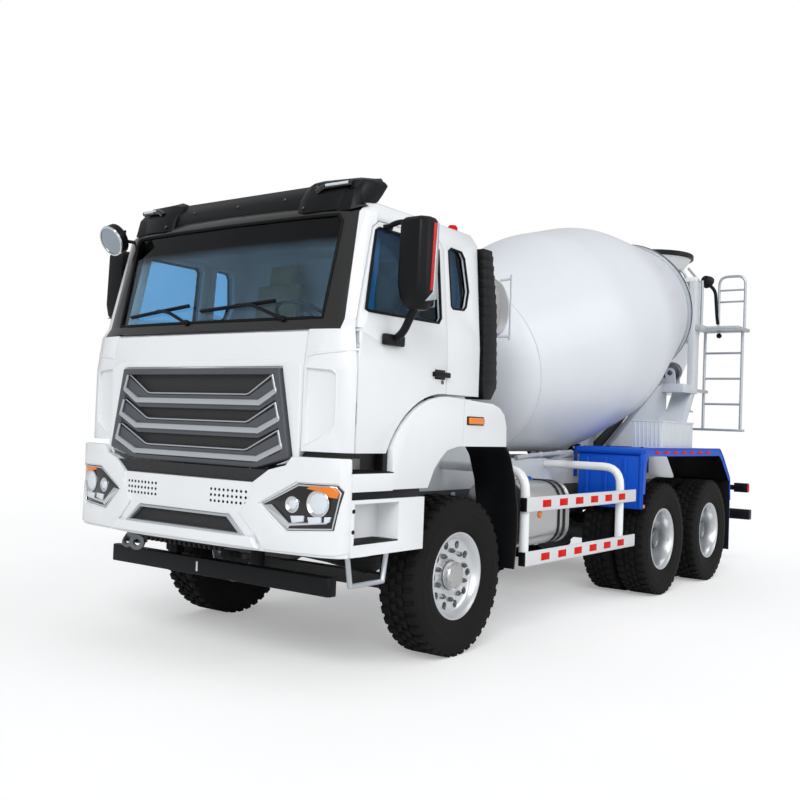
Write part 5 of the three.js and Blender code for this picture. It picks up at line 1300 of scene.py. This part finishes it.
def hopper():
    """The funnel over the drum's mouth, with its spout, lugs, dark rim, braces and hose."""
    foot, spout_top = at(0, HOPPER_Y, 0), at(0, HOPPER_Y, 3420)
    section = [(192, 3400), (200, 3400), (492, 3780), (500, 3790), (500, 3834), (488, 3834), (482, 3790),
               (470, 3772)]
    funnel = turned("hopper_funnel", section, foot, UP, 72)
    section = [(180, -20), (190, -20), (190, 448), (180, 448)]
    spout = turned("hopper_spout", section, spout_top, at(0, 5730, 3262) - spout_top, 48)
    lugs = [block("lug", sign * 160, sign * 660, 5960, 6040, 3450, 3510, 4) for _, sign in SIDES]
    fit(joined("hopper_shell", funnel, spout, *lugs), "root", WHITE, ["charge_hopper"])
    section = [(486, 3776), (514, 3776), (520, 3784), (520, 3828), (514, 3835), (486, 3835)]
    fit(turned("hopper_rim", section, foot, UP, 72), "root", BLACK)
    braces = [tube("brace", [at(sign * 470, 6200, 3660), at(sign * 640, HOPPER_Y, 3470)], 16)
              for _, sign in SIDES]
    hose = [at(330, 5980, 3560), at(480, 5950, 3620), at(560, 5990, 3440), at(590, 6030, 3300)]
    fit(joined("hopper_braces", *braces, tube("hose", hose, 18, 120, 4)), "root", SILVER)


def chute():
    """The collector, the chute on its arm, and the crank that lifts it."""
    fit(finished("discharge_collector", "collector_shell", 4), "root", WHITE)
    fit(finished("chute_arm", "chute_bracket", 4), "chute_arm", WHITE)
    fit(finished("chute", "chute_trough", 2, 2, 60), "chute", WHITE)
    run = [at(560, 6060, 1950), at(560, 6150, 1950), at(560, 6150, 1870), at(560, 6240, 1870)]
    barrel = [(0, -40), (44, -40), (44, 30), (30, 40), (0, 40)]
    winch = turned("winch", barrel, at(560, 6050, 1950), (0, 1, 0), 24)
    fit(joined("chute_crank", tube("crank", run, 11, 18, 4), winch), "root", SILVER)


def ladder():
    """The ladder beside the collector: stiles and rungs, a slatted platform, and a hoop with two rails."""
    y, foot, deck, top = 6550, 1642, 2900, 3583
    left, right, hoop = 1056, 590, (752, 1075)
    bars = [tube("stile", [at(x, y, foot), at(x, y, deck)], 19, sides=4) for x in (right, left)]
    bars += [tube("rung", [at(right, y, z), at(left, y, z)], 14, sides=4) for z in (1980, 2300, 2620)]
    run = [at(hoop[0], y, deck), at(hoop[0], y, top), at(hoop[1], y, top), at(hoop[1], y, deck)]
    bars.append(tube("hoop", run, 17, 110, 4))
    bars += [tube("rail", [at(hoop[0], y, z), at(hoop[1], y, z)], 12, sides=4) for z in (3265, 3410)]
    bars.append(tube("post", [at(640, 6240, deck), at(640, 6240, 3500)], 19, sides=4))
    border = block("border", 570, 1120, 6150, 6625, 2880, 2920, 0)
    carve(border, block("room", 620, 1080, 6250, 6500, 2800, 2990, 0))
    bars.append(soften(border, 4))
    bars.append(block("step", 470, 1100, y - 30, y + 40, foot, 1672, 5))
    bars.append(block("arm", 681, 750, 5920, 6180, 2852, 2918, 4))
    bars.append(block("brace", 589, 640, 6061, y + 14, 2111, 2149, 4))
    bars.append(along(block("slat", 612, 640, 6245, 6505, 2889, 2903, 2), 12, (41, 0, 0)))
    fit(joined("ladder_frame", *bars), "root", SILVER, ["ladder"])


def work_lamp():
    """The lamp over the hopper, with its stalk, its cable and the knob below the platform."""
    shade = [(0, -50), (48, -50), (78, 20), (80, 44), (70, 48), (0, 44)]
    lamp = turned("lamp", shade, at(672, 6300, 3505), (0.3, 1, -0.45), 32)
    stalk = tube("stalk", [at(640, 6240, 3440), at(650, 6250, 3500)], 12)
    run = [at(672, 6290, 3480), at(752, 6400, 3400), at(752, 6480, 3080), at(748, 6535, 2990)]
    cable = tube("cable", run, 21, 120, 4)
    ball = [(0, -34), (20, -28), (33, -10), (33, 10), (20, 28), (0, 34)]
    knob = turned("knob", ball, at(760, 6560, 2842), UP, 24)
    fit(joined("work_lamp", lamp, stalk, cable, knob), "root", BLACK)


hopper()
chute()
ladder()
work_lamp()


# ---------------------------------------------------------------- chassis

for node, name, material, slot in (
        ("chassis_frame", "chassis_rails", DARK, "dark_paint"),
        ("front_axle", "front_axle_beam", DARK, "dark_paint"),
        ("middle_axle", "middle_axle_housing", DARK, "dark_paint"),
        ("rear_axle", "rear_axle_housing", DARK, "dark_paint"),
        ("rear_springs", "bogie_springs", DARK, "dark_paint"),
        ("engine_block", "engine", DARK, "dark_paint"),
        ("radiator", "radiator_core", DARK, "dark_paint"),
        ("driveline", "gearbox_and_shaft", DARK, "dark_paint"),
        ("battery_box", "battery_case", GRAPHITE, "dark_paint"),
        ("fuel_tank", "fuel_tank_shell", BRUSHED, "alloy"),
        ("rear_underrun_bar", "rear_bar", BLACK, "black_plastic")):
    fit(finished(node, name, 4), "root", material)


def tank_outline(out):
    """The fuel tank's rounded section, moved outwards."""
    x, z, half, corner = 905, 897, 255 + out, 150 + out
    points = []
    for quarter, (u, v) in enumerate(((1, 1), (-1, 1), (-1, -1), (1, -1))):
        for angle in (math.radians(90 * quarter + 15 * i) for i in range(7)):
            points.append((x + u * (half - corner) + corner * math.cos(angle),
                           z + v * (half - corner) + corner * math.sin(angle)))
    return points


def fuel_tank_fittings():
    """The fuel tank's straps, welts, neck and cap, and the pipe above it."""
    straps = [plate("strap", "y", tank_outline(5), y, y + 34, 2) for y in (1500, 1596)]
    fit(joined("tank_straps", *straps), "root", BLACK)
    welts = [plate("welt", "y", tank_outline(4), y, y + 12, 3) for y in (940, 1683)]
    fit(joined("tank_welts", *welts), "root", BRUSHED)
    cap = turned("tank_cap", [(0, -8), (52, -8), (52, 22), (44, 30), (0, 32)], at(890, 1430, 1152), UP, 32)
    fit(cap, "root", BLUE)
    neck = turned("tank_neck", [(0, -6), (66, -6), (66, 6), (60, 10), (0, 10)], at(890, 1430, 1150), UP, 32)
    fit(neck, "root", STEEL)
    run = [at(1010, 1050, 1338), at(980, 1300, 1352), at(760, 2600, 1380), at(440, 2680, 1280)]
    pipe = tube("side_pipe", run, 20, 160, 4)
    section = [(0, -16), (27, -16), (27, 16), (0, 16)]
    collars = [turned("collar", section, at(*place), (-0.16, 0.98, 0.02), 24)
               for place in ((930, 1594, 1358), (846, 2090, 1368))]
    fit(joined("side_pipe", pipe, *collars), "root", SILVER)


fuel_tank_fittings()


# ---------------------------------------------------------------- wings and guards

def front_wing(side, sign):
    """The front wing with its steps, treads, lamp and rear flap, and the knuckle behind it."""
    fit(finished(f"knuckle_{side}", f"steering_knuckle_{side}", 3), f"steering_{side}", DARK)
    wing = finished(f"front_wing_{side}", f"front_wing_panel_{side}", 4)
    fit(wing, "root", WHITE)
    coat(wing, BLACK, lambda x, y, z, n: (y > 486 and z < 1456) or (abs(x) < 1197 and y > -500 and z < 1460))
    coat(wing, DARK, lambda x, y, z, n: abs(x) < 900)
    coat(wing, SILVER, lambda x, y, z, n: z < 778 and y < -800)
    lamp = block(f"wing_lamp_{side}", sign * 1244, sign * 1266, -46, 146, 1586, 1630, 9, 3)
    fit(lamp, "root", AMBER_LENS)

    trim = [block("foot", sign * 1240, sign * 1251, -58, 158, 1578, 1638, 5),
            block("gap", sign * 1062, sign * 1226, -1236, -560, 1110, 1163, 4),
            block("tread", sign * 985, sign * 1246, -1252, -868, 1266, 1274, 2),
            block("tread", sign * 1080, sign * 1246, -1236, -800, 852, 861, 2)]
    for z, count in ((1273, 14), (860, 16)):
        rib = block("rib", sign * 1010, sign * 1236, -1240, -1232, z, z + 4, 1)
        trim.append(along(rib, count, (0, 26, 0)))
    for z in (1050, 930):
        hole = [(0, -2), (13, -2), (13, 1.5), (0, 1.5)]
        trim.append(turned("hole", hole, at(sign * 1245, -1241, z), (sign, 0, 0), 20))
    for y, z in ((566, 1370), (610, 1270), (650, 1170), (678, 1070), (700, 960), (708, 840)):
        trim.append(tube("flare", [at(sign * 1000, y, z), at(sign * 1232, y, z)], 8))
    fit(joined(f"wing_trim_{side}", *trim), "root", BLACK)
    seam = tube(f"wing_seam_{side}", [at(sign * 1245, -100, 1742), at(sign * 1245, -100, 1434)], 2.5)
    fit(seam, "root", GREY)


def rear_wing(side, sign):
    """The blue rear wing with its ribs, rolled edges, bolts, marker lamp and reflectors."""
    # The faces inside the arch that turn towards the wheels; these get painted shade.
    def under(x, y, z, n):
        return n.y * (y - 4300) + n.z * (z - 545) < 0 and abs(n.x) < 0.5 and z < 1432 and abs(x) > 560

    wing = finished(f"rear_wing_{side}", f"rear_wing_panel_{side}", 3)
    fit(wing, "root", BLUE)
    coat(wing, GREY, lambda x, y, z, n: z > 1434 and 3550 < y < 4430)
    # Black on the mudflap low at the back, which is black. Black also on the faces under the wing, as painted
    # shade.
    coat(wing, BLACK, lambda x, y, z, n: (y > 5560 and z < 700) or under(x, y, z, n))
    marker = block(f"rear_wing_marker_{side}", sign * 1246, sign * 1253, 3056, 3086, 872, 904, 3)
    fit(marker, "root", AMBER_LENS)

    ribs = [block("rib", sign * x, sign * (x + 44), 3022, 3044, 900, 1330, 9, 3) for x in (655, 848, 1041)]
    hem = ((3040, 868), (3040, 1330), (3075, 1400), (3140, 1432), (5227, 1432), (5345, 1345), (5600, 1098),
           (5626, 850))
    ribs.append(tube("edge", [at(sign * 1245, y, z) for y, z in hem], 7, 30))
    ribs.append(tube("roll", [at(sign * 560, 3046, 1396), at(sign * 1238, 3046, 1396)], 30))
    ribs.append(tube("roll", [at(sign * 1222, 3052, 870), at(sign * 1222, 3052, 1380)], 26))
    fit(joined(f"rear_wing_ribs_{side}", *ribs), "root", BLUE)
    head = [(0, -3), (20, -3), (20, 5), (12, 10), (0, 10)]
    bolts = [turned("bolt", head, at(sign * x, 3330, 1432), UP, 16) for x in (760, 1110)]
    fit(joined(f"rear_wing_bolts_{side}", *bolts), "root", BLACK)
    red = block(f"rear_wing_reflectors_{side}", sign * 1244, sign * 1251, 3330, 3450, 1380, 1404, 2)
    fit(along(red, 7, (0, 240, 0)), "root", RED_LENS)


def side_cabinet():
    """The louvres and the lid of the cabinet on the left rear wing."""
    side_louvres = along(block("louvre", 1213, 1220, 3590, 3608, 1450, 1690, 2), 19, (0, 43, 0))
    front_louvres = along(block("louvre", 925, 943, 3554, 3562, 1450, 1690, 2), 7, (42, 0, 0))
    lid = block("lid", 898, 1222, 3552, 4428, 1688, 1704, 4)
    fit(joined("cabinet_louvres", side_louvres, front_louvres, lid), "root", GREY)


def side_guard(side, sign):
    """The side guard: two bent posts and two rails with red reflectors."""
    levels = (533, 942)
    runs = [[at(sign * 431, y, 1255), at(sign * 1194, y, 1255), at(sign * 1194, y, 560)] for y in (885, 2640)]
    posts = [tube("post", run, 37, 170, 5) for run in runs]
    fit(joined(f"guard_posts_{side}", *posts), "root", WHITE, [f"side_guard_{side}"])
    ends = [block("end", sign * 1186, sign * 1240, 820, 838, z + 4, z + 108, 4) for z in levels]
    fit(joined(f"guard_ends_{side}", *ends), "root", BLACK)
    dome = [(0, -6), (30, -6), (30, 6), (22, 12), (0, 14)]
    marker = turned(f"guard_marker_{side}", dome, at(sign * 1161, 1187, 903), (sign, 0, 0), 24)
    fit(marker, "root", AMBER_LENS)
    rails = [block("rail", sign * 1228, sign * 1245, 835, 2895, z, z + 112, 8, 3) for z in levels]
    fit(joined(f"guard_rails_{side}", *rails), "root", BRIGHT)
    reds = [block("red", sign * 1243, sign * 1248, 1075, 1211, z + 28, z + 84, 2) for z in levels]
    reds = [along(red, 6, (0, 286, 0)) for red in reds]
    fit(joined(f"guard_reflectors_{side}", *reds), "root", RED_LENS)


def tail_lamp(side, sign):
    """The red lenses at the end of the rear cross-beam."""
    y = 6450  # the rear face of the cross-beam
    lens = block("lens", sign * 1060, sign * 1214, y + 8, y + 20, 915, 1005, 4)
    end = block("lens", sign * 1206, sign * 1216, y - 50, y + 8, 915, 1005, 4)
    fit(joined(f"tail_lamp_{side}", lens, end), "root", RED_LENS)


for side, sign in SIDES:
    front_wing(side, sign)
    rear_wing(side, sign)
    side_guard(side, sign)
    tail_lamp(side, sign)
side_cabinet()


# ---------------------------------------------------------------- studio

def pale_floor():
    """A wide matt floor, a little brighter to the camera than to the truck."""
    deselect()
    bpy.ops.mesh.primitive_plane_add(size=120, location=(0, 0, 0))
    floor = bpy.context.object
    floor.name = "floor"
    material, nodes, links, shader, place = new_finish("pale_floor")
    haze = speckle(nodes, links, place, 0.4, 2)
    links.new(ramp(nodes, links, haze, (0.83, 0.83, 0.83), (0.86, 0.86, 0.86)), shader.inputs["Base Color"])
    shader.inputs["Roughness"].default_value = 0.9
    shader.inputs["Specular IOR Level"].default_value = 0.1
    glow = nodes.new("ShaderNodeEmission")
    path = nodes.new("ShaderNodeLightPath")
    links.new(sum_of(nodes, links, "MULTIPLY", path.outputs["Is Camera Ray"], 0.3), glow.inputs["Strength"])
    both = nodes.new("ShaderNodeAddShader")
    links.new(shader.outputs[0], both.inputs[0])
    links.new(glow.outputs[0], both.inputs[1])
    links.new(both.outputs[0], nodes["Material Output"].inputs["Surface"])
    floor.data.materials.append(material)


def sky():
    """Even light from all round, that shows white to the camera and through glass."""
    world = bpy.data.worlds.new("studio")
    bpy.context.scene.world = world
    world.use_nodes = True
    nodes, links = world.node_tree.nodes, world.node_tree.links
    nodes["Background"].inputs["Color"].default_value = (0.97, 0.985, 1, 1)
    nodes["Background"].inputs["Strength"].default_value = 0.52
    bright = nodes.new("ShaderNodeBackground")
    bright.inputs["Color"].default_value = (1, 1, 1, 1)
    bright.inputs["Strength"].default_value = 1.0
    path = nodes.new("ShaderNodeLightPath")
    seen = sum_of(nodes, links, "MAXIMUM", path.outputs["Is Camera Ray"], path.outputs["Is Transmission Ray"])
    mix = nodes.new("ShaderNodeMixShader")
    links.new(seen, mix.inputs["Fac"])
    links.new(nodes["Background"].outputs[0], mix.inputs[1])
    links.new(bright.outputs[0], mix.inputs[2])
    links.new(mix.outputs[0], nodes["World Output"].inputs["Surface"])


def soft_light(name, place, power, angle):
    """A wide sun that shines from a place towards the truck."""
    deselect()
    bpy.ops.object.light_add(type="SUN", location=place)
    lamp = bpy.context.object
    lamp.name = name
    lamp.data.energy = power
    lamp.data.angle = math.radians(angle)
    lamp.rotation_mode = "QUATERNION"
    lamp.rotation_quaternion = (-Vector(place)).to_track_quat("-Z", "Y")


def camera(place, turn, rise, roll, lens):
    """A camera that looks at the truck from an angle round it, a height angle and a roll."""
    turn, rise, roll = math.radians(turn), math.radians(rise), math.radians(roll)
    back = Vector((math.sin(turn) * math.cos(rise), -math.cos(turn) * math.cos(rise), math.sin(rise)))
    right = (-back).cross(Vector(UP)).normalized()
    up = right.cross(-back)
    across = right * math.cos(roll) + up * math.sin(roll)
    over = up * math.cos(roll) - right * math.sin(roll)
    deselect()
    bpy.ops.object.camera_add(location=(0, 0, 0))
    eye = bpy.context.object
    eye.matrix_world = Matrix((*[(across[i], over[i], back[i], place[i]) for i in range(3)], (0, 0, 0, 1)))
    eye.data.lens = lens
    eye.data.sensor_width = 36
    eye.data.clip_end = 300
    bpy.context.scene.camera = eye


pale_floor()
sky()
soft_light("key", (5, -9, 7), 1.35, 30)
soft_light("side", (9, 3, 4), 0.6, 40)
soft_light("low", (8, -7, 0.9), 0.4, 50)
camera((4.768, -8.235, 1.554), 36.34, -1.543, 2.152, 43.6)
bpy.context.scene.view_settings.view_transform = "Standard"
deselect()
